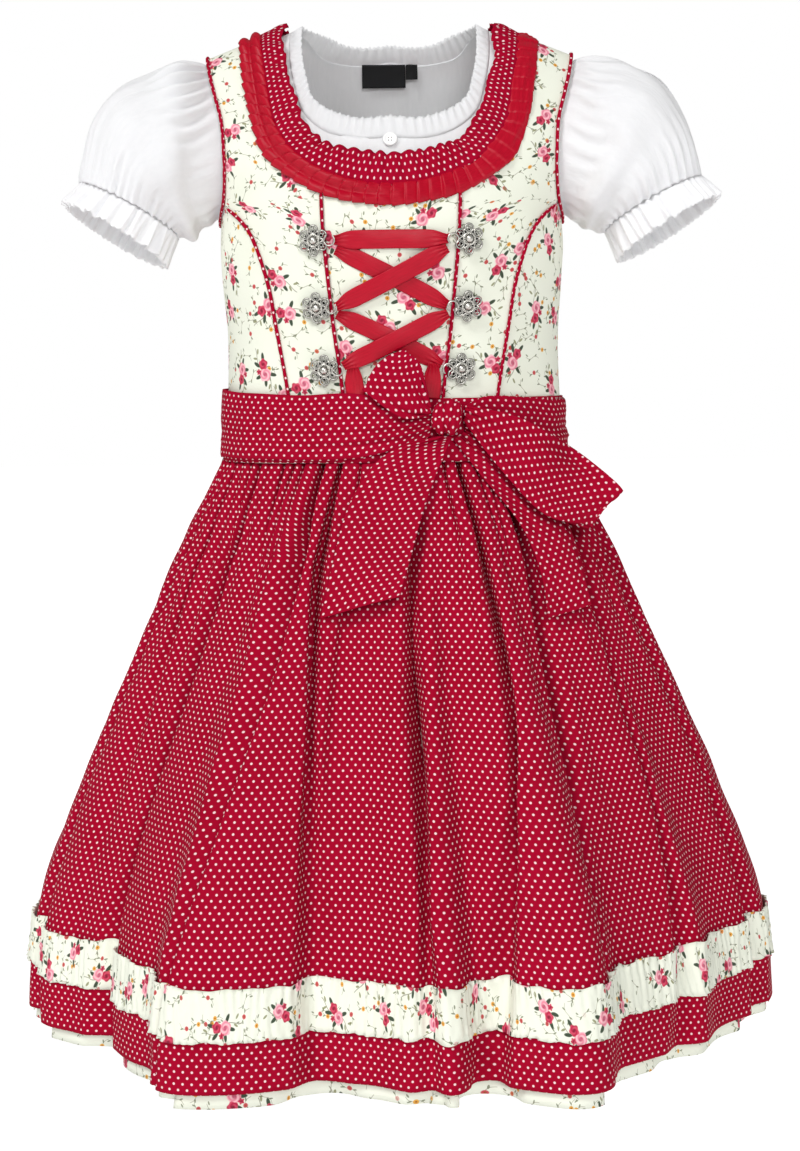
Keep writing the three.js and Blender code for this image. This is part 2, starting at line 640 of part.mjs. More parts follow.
function armholeSpot(k, level, angle) {
  const front = k < ARMHOLE.length;
  const row = ARMHOLE[front ? k : ARMHOLE_STATIONS - k];
  return torsoSpot(front ? row[angle] : 180 - row[angle], row[level]);
}

function buildArmholePiping({ name, sign }) {
  const ring = (level, angle) => {
    const row = [];
    for (let k = 0; k < ARMHOLE_STATIONS; k++) row.push(armholeSpot(k, level, angle));
    return row;
  };
  const grid = [ring("pipe_level", "pipe_angle"), ring("level", "angle")];
  add(`piping_armhole_${name}`, wall(sided(grid, sign), LAYER.piping, true), "dotted");
}

SIDES.forEach((side) => buildSeamPiping("lacing", LACING_SEAM, -100.6, side));
SIDES.forEach((side) => buildSeamPiping("princess", PRINCESS_SEAM, -106, side));
SIDES.forEach(buildArmholePiping);

// A place along a neck table; the places crowd towards the shoulder, where the form turns most
const CROWDING = 1.4;
const alongNeck = (table, share) => rowAt(table, share ** CROWDING * (table.length - 1));

// A ring round a neck, from a front and a back table; the right half is mirrored to the left
function neckRing(front, back, frontSteps, backSteps, spotOf) {
  const quarter = (table, steps, place) => {
    const spotsOf = [];
    for (let k = 0; k <= steps; k++) spotsOf.push(spotOf(alongNeck(table, k / steps), place));
    return spotsOf;
  };
  const toFront = quarter(front, frontSteps, frontSpot);
  const toBack = quarter(back, backSteps, backSpot);
  const leftFront = toFront.slice(0, -1).reverse().map(mirrored);
  const leftBack = toBack.slice(1, -1).map(mirrored);
  return [...toFront, ...leftFront, ...leftBack, ...toBack.slice(1).reverse()];
}

function buildNeckRuffle(name, edgeX, edgeLevel, finish) {
  const rows = [0.02, 1].map((out) => neckRing(NECK_FRONT, NECK_BACK, 12, 8, (row, spotOf) =>
    spotOf(lerp(row.x, row[edgeX], out), lerp(row.level, row[edgeLevel], out))));
  const layers = (i) => LAYER.ruffle_seam.map((d, side) => lerp(d, LAYER.ruffle_edge[side], i));
  add(name, wall(rows, layers, true), finish);
}

buildNeckRuffle("neck_ruffle_satin", "satin_x", "satin_level", "satin");
buildNeckRuffle("neck_ruffle_dotted", "dot_x", "dot_level", "dotted");

// Blouse: front and back cut under the bust, with a small frill round the neck

function buildBlouseBody(name, neck, place) {
  const half = yoke([MID_SHOULDER, ...neck], [BLOUSE_FOOT], place);
  const grid = half.map((row) => [...row, ...row.slice(0, -1).reverse().map(mirrored)]);
  add(name, wall(grid, LAYER.blouse), "white");
}

const FRILL_STEPS = 9;

function buildNeckFrill() {
  const ringAt = (out) => {
    const spotOf = (row, place) =>
      place(lerp(row.x, row.edge_x, out), lerp(row.level, row.edge_level, out));
    return neckRing(BLOUSE_NECK_FRONT, BLOUSE_NECK_BACK, FRILL_STEPS, FRILL_STEPS, spotOf);
  };
  add("blouse_neck_frill", wall([0.08, 1].map(ringAt), LAYER.blouse, true), "white");
}

// Sleeve: starts inside the armhole, turns out over its edge and puffs down to the elastic
function buildSleeve({ name, sign }) {
  const start = [];
  const turn = [];
  const around = [];
  for (let k = 0; k < ARMHOLE_STATIONS; k++) around.push(armholeSpot(k, "level", "angle"));
  around.forEach(({ point, normal }, k) => {
    const next = around[(k + 1) % ARMHOLE_STATIONS].point;
    const last = around[(k + ARMHOLE_STATIONS - 1) % ARMHOLE_STATIONS].point;
    const offEdge = next.clone().sub(last).cross(normal).normalize();
    const towards = SLEEVE_HEART.clone().sub(point);
    if (offEdge.dot(towards) < 0) offEdge.negate();
    const down = Math.min(k, ARMHOLE_STATIONS - k) / (ARMHOLE_STATIONS / 2);
    const over = lerp(SLEEVE_TURN.over_tip, SLEEVE_TURN.over_underarm, down);
    const shifted = (rise, off) => point.clone().addScaledVector(normal, rise).addScaledVector(offEdge, off);
    start.push(shifted(SLEEVE_START.under, SLEEVE_START.off));
    turn.push(shifted(over, SLEEVE_TURN.off));
  });
  const puff = spots([start, turn, ...SLEEVE.map(sleeveRing)], true);
  add(`blouse_sleeve_${name}`, wall(sided(puff, sign), SLEEVE_WALL, true), "white");
  const frill = spots(SLEEVE_FRILL.map(sleeveRing), true);
  add(`sleeve_frill_${name}`, wall(sided(frill, sign), SLEEVE_WALL, true), "white");
}

function sleeveRing({ top_x, top_z, foot_x, foot_z, depth, y, drop }) {
  const ring = [];
  for (let k = 0; k < ARMHOLE_STATIONS; k++) {
    const turn = (2 * Math.PI * k) / ARMHOLE_STATIONS;
    const toTop = (1 + Math.cos(turn)) / 2;
    const x = lerp(foot_x, top_x, toTop);
    const z = lerp(foot_z, top_z, toTop) + (drop / 2) * Math.sin(turn);
    ring.push(new THREE.Vector3(x, y - depth * Math.sin(turn), z));
  }
  return ring;
}

buildBlouseBody("blouse_front", BLOUSE_NECK_FRONT, onFront);
buildBlouseBody("blouse_back", BLOUSE_NECK_BACK, onBack);
buildNeckFrill();
SIDES.forEach(buildSleeve);

// Small parts of the blouse

function placeOn(mesh, { point, normal }, seat) {
  const across = up.clone().cross(normal).normalize();
  const along = normal.clone().cross(across);
  mesh.quaternion.setFromRotationMatrix(new THREE.Matrix4().makeBasis(across, along, normal));
  mesh.position.copy(point).addScaledVector(normal, seat);
}

function buildButton() {
  const { radius, thickness } = BUTTON;
  const profile = [[0, 0], [radius, 0], [radius, thickness * 0.7], [radius * 0.8, thickness], [0, thickness]];
  const disc = new THREE.LatheGeometry(profile.map(([r, h]) => new THREE.Vector2(r, h)), 18);
  disc.rotateX(Math.PI / 2);
  const mesh = add("blouse_button", closed(disc), "white");
  placeOn(mesh, frontSpot(0, levelAt(0, BUTTON.z)), BUTTON.seat);
}

// The same surface with its shared corners joined
function closed(geometry) {
  for (const attribute of ["normal", "uv"]) geometry.deleteAttribute(attribute);
  return mergeVertices(geometry, 1e-4);
}

function buildLabel({ name, left, right, top, foot }) {
  const grid = gridOf(1, 3, (u, v) => backSpot(lerp(left, right, u), lerp(foot, top, v)));
  add(name, wall(grid, LAYER.label), "black");
}

buildButton();
LABELS.forEach(buildLabel);

// Skirt, apron and the ruched band above the apron's hem

const SKIRT_ROWS = [WAIST - HALF_SEAM, ...SKIRT.slice(1).map((row) => row.z)];

function skirtGrid(from, to, heights) {
  const columns = Math.round((to - from) / SKIRT_STEP);
  return heights.map((z) => {
    const row = [];
    for (let j = 0; j <= columns; j++) row.push(skirtSpot(lerp(from, to, j / columns), z));
    return row;
  }).reverse();
}

const SIDE_SEAM_GAP = 0.1; // degrees on each side of a side seam
const halfTurn = 90 - SIDE_SEAM_GAP;

function buildSkirt() {
  add("skirt_front", wall(skirtGrid(-halfTurn, halfTurn, SKIRT_ROWS), LAYER.skirt), "floral");
  add("skirt_back", wall(skirtGrid(180 - halfTurn, 180 + halfTurn, SKIRT_ROWS), LAYER.skirt), "floral");
}

function buildApron() {
  const between = SKIRT.slice(1, -1).map((row) => row.z);
  const apronRows = [WAIST + 0.1, ...between, APRON_HEM];
  add("apron_panel", wall(skirtGrid(-APRON_REACH, APRON_REACH, apronRows), LAYER.apron), "dotted");
  const trimRows = [TRIM_BAND.top, TRIM_BAND.foot];
  add("apron_trim", wall(skirtGrid(-APRON_REACH, APRON_REACH, trimRows), LAYER.trim), "floral");
  const band = gridOf(1, (2 * APRON_REACH) / SKIRT_STEP, (u, v) =>
    torsoSpot(lerp(-APRON_REACH, APRON_REACH, u), lerp(WAISTBAND.foot, WAISTBAND.top, v)));
  add("apron_waistband", wall(band, LAYER.waistband), "dotted");
}

buildSkirt();
buildApron();

// Sash and bow

function buildSash(name, table) {
  const from = table[0].at;
  const to = table[table.length - 1].at;
  const columns = Math.round(Math.abs(to - from) / SKIRT_STEP);
  const lifts = [];
  const grid = [0, 1].map((v) => {
    const row = [];
    for (let j = 0; j <= columns; j++) {
      const at = lerp(from, to, j / columns);
      const z = lerp(lookup(table, "at", "foot", at), lookup(table, "at", "top", at), v);
      const spot = torsoSpot(at, z);
      spot.lift = lookup(table, "at", "lift", at);
      row.push(spot);
    }
    return row;
  });
  add(name, wall(grid, (i, spot) => [spot.lift, spot.lift + SASH_WALL]), "dotted");
}

// A ribbon of the bow, kept at least its lift off the form all across
function buildRibbon(name, table, stepsPerRow, across = 3) {
  const rows = (table.length - 1) * stepsPerRow;
  const points = [];
  for (let i = 0; i <= rows; i++) {
    const row = rowAt(table, i / stepsPerRow);
    const depthA = frontDepth(row.ax, row.az) - row.a_lift;
    const depthB = frontDepth(row.bx, row.bz) - row.b_lift;
    const line = [];
    for (let j = 0; j <= across; j++) {
      const t = j / across;
      const x = lerp(row.ax, row.bx, t);
      const z = lerp(row.az, row.bz, t);
      const lift = lerp(row.a_lift, row.b_lift, t);
      const y = Math.min(lerp(depthA, depthB, t), frontDepth(x, z) - lift);
      line.push(new THREE.Vector3(x, y, z));
    }
    points.push(line);
  }
  const half = BOW_WALL / 2;
  add(name, wall(spots(points), [-half, half]), "dotted");
}

function buildKnot() {
  const knot = closed(new THREE.SphereGeometry(1, 12, 8));
  knot.scale(KNOT.width, KNOT.depth, KNOT.height);
  const mesh = add("bow_knot", knot, "dotted");
  mesh.position.set(KNOT.x, frontDepth(KNOT.x, KNOT.z) - KNOT.lift, KNOT.z);
}

buildSash("sash_left", SASH_LEFT);
buildSash("sash_right", SASH_RIGHT);
buildKnot();
buildRibbon("bow_loop_left", LOOP_LEFT, 1);
buildRibbon("bow_loop_right", LOOP_RIGHT, 1);
buildRibbon("bow_tail_left", TAIL_LEFT, 1);
buildRibbon("bow_tail_right", TAIL_RIGHT, 2);

// Lace over the plastron

function buildLace({ name, from_x, from_level, to_x, to_level, layer }) {
  const rise = to_level - from_level;
  const run = to_x - from_x;
  const length = Math.hypot(rise, run);
  const grid = gridOf(1, 9, (u, v) => {
    const aside = lerp(-LACE_HALF_WIDTH, LACE_HALF_WIDTH, v);
    const x = lerp(from_x, to_x, u) - (aside * rise) / length;
    return frontSpot(x, lerp(from_level, to_level, u) + (aside * run) / length);
  });
  add(name, wall(grid, LAYER[layer]), "satin");
}

function buildLaceTail({ name, sign }) {
  const { x, top, foot } = LACE_TAIL;
  const grid = gridOf(3, 2, (u, v) =>
    frontSpot(x + lerp(-LACE_HALF_WIDTH, LACE_HALF_WIDTH, u), lerp(foot, top, v)));
  add(`lace_tail_${name}`, wall(sided(grid, sign), LAYER.lace_middle), "satin");
}

LACE.forEach(buildLace);
SIDES.forEach(buildLaceTail);

// Hooks: a six-petalled plate with a domed heart and an eye towards the centre

const solidOf = (geometry) => {
  const surface = closed(geometry);
  const vertProperties = new Float32Array(surface.attributes.position.array);
  const triVerts = new Uint32Array(surface.index.array);
  return new wasm.Manifold(new wasm.Mesh({ numProp: 3, vertProperties, triVerts }));
};

function geometryOf(solid) {
  const { vertProperties, triVerts } = solid.getMesh();
  const geometry = new THREE.BufferGeometry();
  geometry.setAttribute("position", new THREE.BufferAttribute(vertProperties, 3));
  geometry.setIndex([...triVerts]);
  return geometry;
}

function hookGeometry(eyeReach) {
  const outline = [];
  const points = HOOK.petals * 4;
  for (let k = 0; k < points; k++) {
    const turn = (2 * Math.PI * k) / points;
    const petal = Math.abs(Math.cos((HOOK.petals / 2) * turn)) ** 0.6;
    const radius = HOOK.radius + HOOK.scallop * petal;
    outline.push(new THREE.Vector2(radius * Math.cos(turn), radius * Math.sin(turn)));
  }
  const settings = { depth: HOOK.plate, bevelEnabled: false, curveSegments: 7 };
  const plate = new THREE.ExtrudeGeometry(new THREE.Shape(outline), settings);
  const eyeShape = new THREE.Shape().absarc(-eyeReach, 0, EYE.radius, 0, 2 * Math.PI);
  eyeShape.holes.push(new THREE.Path().absarc(-eyeReach, 0, EYE.hole, 0, 2 * Math.PI, true));
  const eye = new THREE.ExtrudeGeometry(eyeShape, settings);
  const dome = new THREE.SphereGeometry(HOOK.dome, 8, 6);
  dome.scale(1, 1, 0.75);
  dome.translate(0, 0, HOOK.plate);
  return geometryOf(solidOf(plate).add(solidOf(eye)).add(solidOf(dome)));
}

function buildHook({ name, x, level, eye_x }, side) {
  const geometry = hookGeometry(x - eye_x);
  if (side.sign < 0) geometry.rotateZ(Math.PI);
  const mesh = add(`${name}_${side.name}`, geometry, "silver");
  placeOn(mesh, frontSpot(side.sign * x, level), HOOK.seat);
}

HOOKS.forEach((hook) => SIDES.forEach((side) => buildHook(hook, side)));

export default set;
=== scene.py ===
# %% [markdown]
# # A child's dirndl set, from cloth to buckle
# The set is a white puff-sleeved blouse, a laced dress in a small floral print and a red dotted
# apron tied in a bow. It is shown as worn, but nothing wears it. This lesson first loads a plain
# frame model that gives every piece its place, and then makes each piece again as real cloth.

import math

import bpy
import numpy as np
from mathutils import Matrix, Quaternion, Vector


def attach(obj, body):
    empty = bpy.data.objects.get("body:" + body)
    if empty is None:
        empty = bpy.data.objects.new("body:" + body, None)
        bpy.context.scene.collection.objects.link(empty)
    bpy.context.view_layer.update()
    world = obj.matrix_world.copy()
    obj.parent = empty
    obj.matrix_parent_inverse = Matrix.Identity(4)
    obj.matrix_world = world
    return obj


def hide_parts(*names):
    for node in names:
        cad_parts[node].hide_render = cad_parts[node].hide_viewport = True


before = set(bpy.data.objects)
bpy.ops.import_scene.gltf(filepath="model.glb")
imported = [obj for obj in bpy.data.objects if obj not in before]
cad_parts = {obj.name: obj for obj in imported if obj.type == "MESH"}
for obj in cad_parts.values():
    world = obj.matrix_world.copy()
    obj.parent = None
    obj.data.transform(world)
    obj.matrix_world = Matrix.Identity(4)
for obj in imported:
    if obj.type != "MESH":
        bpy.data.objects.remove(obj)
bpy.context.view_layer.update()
print("pieces in the frame:", len(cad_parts))

# %% [markdown]
# ## Camera, light and floor
# The picture is taken from the front, a little above the middle, with a long lens and a very
# slight tilt to one side. The light is that of a white studio: a bright surround, a large soft
# lamp from the upper left and a weaker one from the front. A sun lamp with a wide angle is used
# for each, because its light doesn't fall off over the floor. The set hangs, so the pale floor
# lies well below the hem.

# %% Camera
MM = 0.001

def add_camera():
    place = Vector((0.006, -1.650, -0.216))
    aim = Vector((0.003, 0, -0.364))
    bpy.ops.object.camera_add(location=place)
    camera = bpy.context.object
    level = (aim - place).to_track_quat("-Z", "Y")
    tilt = Quaternion((0, 0, 1), math.radians(-0.7))
    camera.rotation_euler = (level @ tilt).to_euler()
    camera.data.sensor_width = 36
    camera.data.lens = 36 * 2300.8 / 1151
    bpy.context.scene.camera = camera
    print("lens", round(camera.data.lens, 1), "mm")

add_camera()

# %% Lamps, surround and floor
def add_lamp(name, strength, width, turn, height):
    bpy.ops.object.light_add(type="SUN", rotation=(math.radians(90 - height), 0, math.radians(turn)))
    lamp = bpy.context.object
    lamp.name = name
    lamp.data.energy = strength
    lamp.data.angle = math.radians(width)

add_lamp("soft key", 1.7, 20, -38, 44)
add_lamp("front fill", 1.25, 18, 10, 20)

def light_surround():
    world = bpy.data.worlds.new("studio")
    bpy.context.scene.world = world
    world.use_nodes = True
    nodes = world.node_tree.nodes
    links = world.node_tree.links
    seen = nodes.new("ShaderNodeBackground")
    seen.inputs["Strength"].default_value = 1
    seen.inputs["Color"].default_value = (1, 1, 1, 1)
    shining = nodes["Background"]
    shining.inputs["Strength"].default_value = 0.22
    shining.inputs["Color"].default_value = (1, 0.99, 0.98, 1)
    ray = nodes.new("ShaderNodeLightPath")
    mix = nodes.new("ShaderNodeMixShader")
    links.new(ray.outputs["Is Camera Ray"], mix.inputs["Fac"])
    links.new(shining.outputs[0], mix.inputs[1])
    links.new(seen.outputs[0], mix.inputs[2])
    links.new(mix.outputs[0], nodes["World Output"].inputs["Surface"])

light_surround()
bpy.context.scene.view_settings.view_transform = "Standard"

# %% [markdown]
# ## Writing a finish as arithmetic
# A finish is a network of nodes. Wires between nodes are easier to read when they are written as
# sums and products, so one small class wraps a wire and turns Python's arithmetic into Math nodes.
# Colours are mixed with Mix nodes, because a Math node would turn them grey.

# %% The wire and the finish
class Wire:
    """An output of a node on which ordinary arithmetic can be written."""

    def __init__(self, finish, socket):
        self.finish = finish
        self.socket = socket

    def within(self, edge, soft):
        """1 below the edge and 0 above it, with a soft border."""
        settings = {"interpolation_type": "SMOOTHSTEP", "clamp": True}
        ends = {"Value": self, "From Min": edge - soft, "From Max": edge + soft}
        ends.update({"To Min": 1, "To Max": 0})
        return self.finish.node("MapRange", settings, ends)


def math_node(operation):
    """A method that works out one operation with a Math node."""
    def method(wire, *others):
        return wire.finish.node("Math", {"operation": operation}, dict(enumerate((wire, *others))))
    return method


ARITHMETIC = {
    "__add__": "ADD", "__sub__": "SUBTRACT", "__mul__": "MULTIPLY", "__truediv__": "DIVIDE",
    "least": "MINIMUM", "size": "ABSOLUTE", "root": "SQRT", "part": "FRACT",
    "sine": "SINE", "cosine": "COSINE",
}
for word, operation in ARITHMETIC.items():
    setattr(Wire, word, math_node(operation))


class Finish:
    """A material whose nodes are made one by one."""

    def __init__(self, name, **even):
        self.material = bpy.data.materials.new(name)
        self.material.use_nodes = True
        self.tree = self.material.node_tree
        self.shader = self.tree.nodes["Principled BSDF"]
        for socket, value in even.items():
            self.shader.inputs[socket.replace("_", " ")].default_value = value

    def node(self, kind, settings=None, inputs=None, output=0):
        node = self.tree.nodes.new("ShaderNode" + kind)
        for key, value in (settings or {}).items():
            setattr(node, key, value)
        for key, value in (inputs or {}).items():
            if isinstance(value, Wire):
                self.tree.links.new(value.socket, node.inputs[key])
            else:
                node.inputs[key].default_value = value
        return Wire(self, node.outputs[output])

    def cloth(self):
        """Millimetres across and along the flat cloth, from its own UV map."""
        flat = self.node("UVMap", {"uv_map": "Cloth"})
        return self.axis(flat, 0) * 1000, self.axis(flat, 1) * 1000

    def axis(self, vector, number):
        return self.node("SeparateXYZ", None, {0: vector}, number)

    def place(self):
        return self.node("TexCoord", output="Object")

    def noise(self, vector, scale, detail=2, roughness=0.5):
        values = {"Vector": vector, "Scale": scale, "Detail": detail, "Roughness": roughness}
        return self.node("TexNoise", None, values)

    def spot_at(self, x, y):
        return self.node("CombineXYZ", None, {0: x, 1: y})

    def paint(self, share, under, over):
        """The colour over laid on the colour under where the share is 1."""
        return self.node("Mix", {"data_type": "RGBA"}, {0: share, 6: under, 7: over}, output=2)

    def show(self, socket, wire):
        self.tree.links.new(wire.socket, self.shader.inputs[socket])

    def bump(self, height, strength, distance):
        values = {"Height": height, "Strength": strength, "Distance": distance}
        self.show("Normal", self.node("Bump", None, values))


def shade(red, green, blue):
    """A colour from its everyday 0 to 255 values, as the light values that nodes work with."""
    parts = np.array([red, green, blue]) / 255
    return (*np.where(parts > 10 / 255, ((parts + 0.055) / 1.055) ** 2.4, parts / 12.92).tolist(), 1)

# %% [markdown]
# ## The floor
# A floor is a single large plane. It gets a quiet paper grain, so that it isn't a flat colour.
# It glows a little, as a lit studio floor does, so it and the white surround run together.

# %% Floor
FLOOR, FLOOR_SIZE = -1.5, 60

def add_floor():
    paper = Finish("pale paper", Roughness=0.9, Emission_Color=(1, 1, 1, 1), Emission_Strength=0.42)
    grain = paper.noise(paper.place(), 30, 3)
    paper.show("Base Color", paper.paint(grain * 0.25, shade(250, 250, 250), shade(240, 240, 240)))
    bpy.ops.mesh.primitive_plane_add(size=FLOOR_SIZE, location=(0, 0, FLOOR))
    floor = bpy.context.object
    floor.name = "floor"
    floor.data.materials.append(paper.material)

add_floor()

# %% [markdown]
# ## The two forms under the cloth
# Every piece of the frame lies on one of two invisible forms: the torso and the flaring skirt.
# Both are repeated here as functions, in millimetres. A place on a form is an angle round it,
# from the front centre to the viewer's right, and a height. On the torso the height is a level:
# it runs from the armpits up to 0, which is the whole shoulder line.

# %% Smooth curves through tables
def table(text):
    """Columns of numbers from lines of text."""
    return np.array([line.split() for line in text.strip().splitlines()], float).T

def smooth(keys, values, at):
    """A smooth curve through the values at rising keys, flat beyond its ends."""
    inner = (values[2:] - values[:-2]) / (keys[2:] - keys[:-2])
    first = (values[1] - values[0]) / (keys[1] - keys[0])
    last = (values[-1] - values[-2]) / (keys[-1] - keys[-2])
    slopes = np.concatenate([[first], inner, [last]])
    i = np.clip(np.searchsorted(keys, at, side="right") - 1, 0, len(keys) - 2)
    width = keys[i + 1] - keys[i]
    s = clamp((at - keys[i]) / width)
    rise = values[i + 1] - values[i]
    start = slopes[i] * width
    end = slopes[i + 1] * width
    return values[i] + s * (start + s * (3 * rise - 2 * start - end + s * (start + end - 2 * rise)))

def blend(a, b, share):
    return a + (b - a) * share

def clamp(value):
    return np.clip(value, 0, 1)

def hill(away, width):
    """A bell-shaped hill, 1 at its middle."""
    return np.exp(-((away / width) ** 2))

def spots(*columns):
    """Points from one array for each of their axes."""
    return np.stack(columns, -1)

def summed(steps):
    """Running totals that start at 0."""
    return np.concatenate([[0], np.cumsum(steps)])

def path_length(points):
    """Lengths along a row of points, from its start."""
    return summed(np.linalg.norm(np.diff(points, axis=0), axis=1))

# %% Torso form
WAIST = -280
ARMPITS = -100
UNDERARM = -112
ROUNDNESS = 2.2
SHOULDER_TIP, SHOULDER_HEIGHT, SHOULDER_SLOPE = 131, 2, 0.38

# height, half width, depth to the front, depth to the back
TORSO = table("""
    -280 120   78 74
    -230 118   77 72
    -190 117.5 81 74
    -160 119.5 86 77
    -130 121   90 79
    -100 121   88 78
    -60  131   80 74
    -20  137   68 66
    20   136   60 62
""")

def torso_half(z):
    return smooth(TORSO[0], TORSO[1], z)

def torso_depth(z, front):
    return np.where(front, smooth(TORSO[0], TORSO[2], z), smooth(TORSO[0], TORSO[3], z))

def shoulder_at(x):
    return SHOULDER_HEIGHT + SHOULDER_SLOPE * (SHOULDER_TIP - np.abs(x))

def height_of(x, level):
    raised = blend(ARMPITS, shoulder_at(x), 1 - level / ARMPITS)
    return np.where(level < ARMPITS, level, raised)

def level_of(x, z):
    raised = blend(ARMPITS, 0, (z - ARMPITS) / (shoulder_at(x) - ARMPITS))
    return np.where(z < ARMPITS, z, raised)

def torso_field(x, y, z):
    rise = np.maximum(0, (z - ARMPITS) / (shoulder_at(x) - ARMPITS))
    closing = 1 - rise ** ROUNDNESS
    round_part = (np.abs(y) / torso_depth(z, y < 0)) ** ROUNDNESS
    return ((np.abs(x) / torso_half(z)) ** ROUNDNESS - 1) * closing + round_part

def unit(vectors):
    return vectors / np.maximum(np.linalg.norm(vectors, axis=-1, keepdims=True), 1e-9)

def torso_spot(angle, level):
    """Points of the torso form with the directions that lead off it."""
    angle, level = np.broadcast_arrays(np.asarray(angle, float), np.asarray(level, float))
    sine = np.sin(np.radians(angle))
    cosine = np.cos(np.radians(angle))
    reach = np.abs(sine) ** (2 / ROUNDNESS) * np.sign(sine)
    x = reach * torso_half(level)
    for _ in range(5):
        x = reach * torso_half(height_of(x, level))
    z = height_of(x, level)
    closing = 1 - np.maximum(0, 1 - level / ARMPITS) ** ROUNDNESS
    flat = np.maximum(0, cosine ** 2 * closing) ** (1 / ROUNDNESS)
    y = -np.sign(cosine) * torso_depth(z, cosine > 0) * flat
    slope = [
        torso_field(x + dx, y + dy, z + dz) - torso_field(x - dx, y - dy, z - dz)
        for dx, dy, dz in np.eye(3) / 2
    ]
    return spots(x, y, z), unit(spots(*slope))

def torso_angle(x, level):
    """The angle of a place on the front that is x from the centre."""
    share = np.minimum(1, np.abs(x) / torso_half(height_of(x, level)))
    return np.degrees(np.arcsin(share ** (ROUNDNESS / 2))) * np.sign(x)

def front_spot(x, level):
    return torso_spot(torso_angle(x, level), level)

def back_spot(x, level):
    return torso_spot(180 - torso_angle(x, level), level)

print("chest", [round(float(v), 1) for v in torso_spot(0, -130)[0]])

# %% Skirt form
# height, half width, share of the folds' full size, depth to the front, depth to the back
SKIRT_KEYS = table("""
    -680 265   1
    -600 257   0.92
    -500 221   0.72
    -410 182   0.48
    -345 153.5 0.28
    -300 131   0.12
    -280 121   0
""")
SKIRT_DEPTH = {"front": (78, 225), "back": (74, 212)}

# angle of the middle, half width in degrees, how far it stands out at the hem, sideways lean
FOLDS = table("""
    -90  16 5   0
    -56  18 -20 0
    -24  16 40  -5
    -8   9  -8  0
    4    8  20  2
    12   7  -6  0
    21   13 40  3
    42   12 -6  0
    62   16 -16 0
    90   14 5   0
    116  14 -16 0
    138  13 24  4
    158  12 -14 0
    178  13 20  -3
    -160 12 -12 0
    -137 14 26  -4
    -114 13 -16 0
""").T

def skirt_point(angle, z):
    angle, z = np.broadcast_arrays(np.asarray(angle, float), np.asarray(z, float))
    half = smooth(SKIRT_KEYS[0], SKIRT_KEYS[1], z)
    share = smooth(SKIRT_KEYS[0], SKIRT_KEYS[2], z)
    out = np.zeros_like(angle)
    lean = np.zeros_like(angle)
    for at, width, stand, sideways in FOLDS:
        away = (angle - at + 180) % 360 - 180
        swell = np.where(np.abs(away) < width, np.cos(np.pi / 2 * away / width) ** 2, 0)
        out += stand * swell
        lean += sideways * swell
    turn = np.radians(angle + lean * share)
    flare = (half - SKIRT_KEYS[1][-1]) / (SKIRT_KEYS[1][0] - SKIRT_KEYS[1][-1])
    front = blend(*SKIRT_DEPTH["front"], flare)
    back = blend(*SKIRT_DEPTH["back"], flare)
    depth = np.where(np.cos(turn) > 0, front, back)
    away = unit(spots(np.sin(turn) / half, -np.cos(turn) / depth, 0 * turn))
    base = spots(half * np.sin(turn), -depth * np.cos(turn), z)
    return base + away * (out * share)[..., None]

def skirt_frame(angle, z):
    """Points of the skirt form, the directions off it and the directions along it."""
    points = skirt_point(angle, z)
    along = unit(skirt_point(angle + 1, z) - skirt_point(angle - 1, z))
    upwards = skirt_point(angle, z + 6) - skirt_point(angle, z - 6)
    off = unit(np.cross(along, upwards))
    return points, off, along

print("hem front", [round(float(v)) for v in skirt_point(0, -676)])

# %% [markdown]
# ## Cloth as a sheet
# Cloth is a thin sheet, so each piece starts as a grid. A function then gives every corner of the
# grid its place in space and its place on the flat, uncut cloth. The second one becomes the UV
# map, in metres, so a printed dot keeps its size and its spacing wherever the cloth is gathered.
# Where a grid closes into a ring, its two ends are merged. Solidify gives the sheet its wall.

# %% Sheets
MERGED = 2e-6  # metres: corners nearer than this become one

def lay_cloth(name, columns, rows, shape, wall=0.8, ring=False, finish=None):
    """A sheet whose shape function turns shares across and up into points and flat places."""
    bpy.ops.object.select_all(action="DESELECT")
    bpy.ops.mesh.primitive_grid_add(x_subdivisions=columns, y_subdivisions=rows, size=2)
    piece = bpy.context.object
    piece.name = name
    mesh = piece.data
    mesh.name = name
    plain = np.empty(3 * len(mesh.vertices))
    mesh.vertices.foreach_get("co", plain)
    plain = plain.reshape(-1, 3)
    i = np.rint((plain[:, 1] + 1) / 2 * rows).astype(int)
    j = np.rint((plain[:, 0] + 1) / 2 * columns).astype(int)
    shares = np.linspace(0, 1, rows + 1), np.linspace(0, 1, columns + 1)
    up, across = np.meshgrid(*shares, indexing="ij")
    points, flat = shape(across, up)
    mesh.vertices.foreach_set("co", (points[i, j] * MM).ravel())
    corner = np.empty(len(mesh.loops), int)
    mesh.loops.foreach_get("vertex_index", corner)
    layer = mesh.uv_layers[0]
    layer.name = "Cloth"
    layer.data.foreach_set("uv", (flat[i, j] * MM)[corner].ravel())
    mesh.update()
    if ring:
        join_ends(not wall)
    bpy.ops.object.shade_smooth()
    if wall:
        add_wall(piece, wall)
    if finish:
        piece.data.materials.append(finish.material)
    return piece

def join_ends(solid):
    bpy.ops.object.mode_set(mode="EDIT")
    bpy.ops.mesh.select_all(action="SELECT")
    bpy.ops.mesh.remove_doubles(threshold=MERGED)
    if solid:
        bpy.ops.mesh.normals_make_consistent(inside=False)
    bpy.ops.object.mode_set(mode="OBJECT")

def add_wall(piece, wall):
    solidify = piece.modifiers.new("wall", "SOLIDIFY")
    solidify.thickness = wall * MM
    solidify.offset = -1
    bpy.ops.object.modifier_apply(modifier="wall")

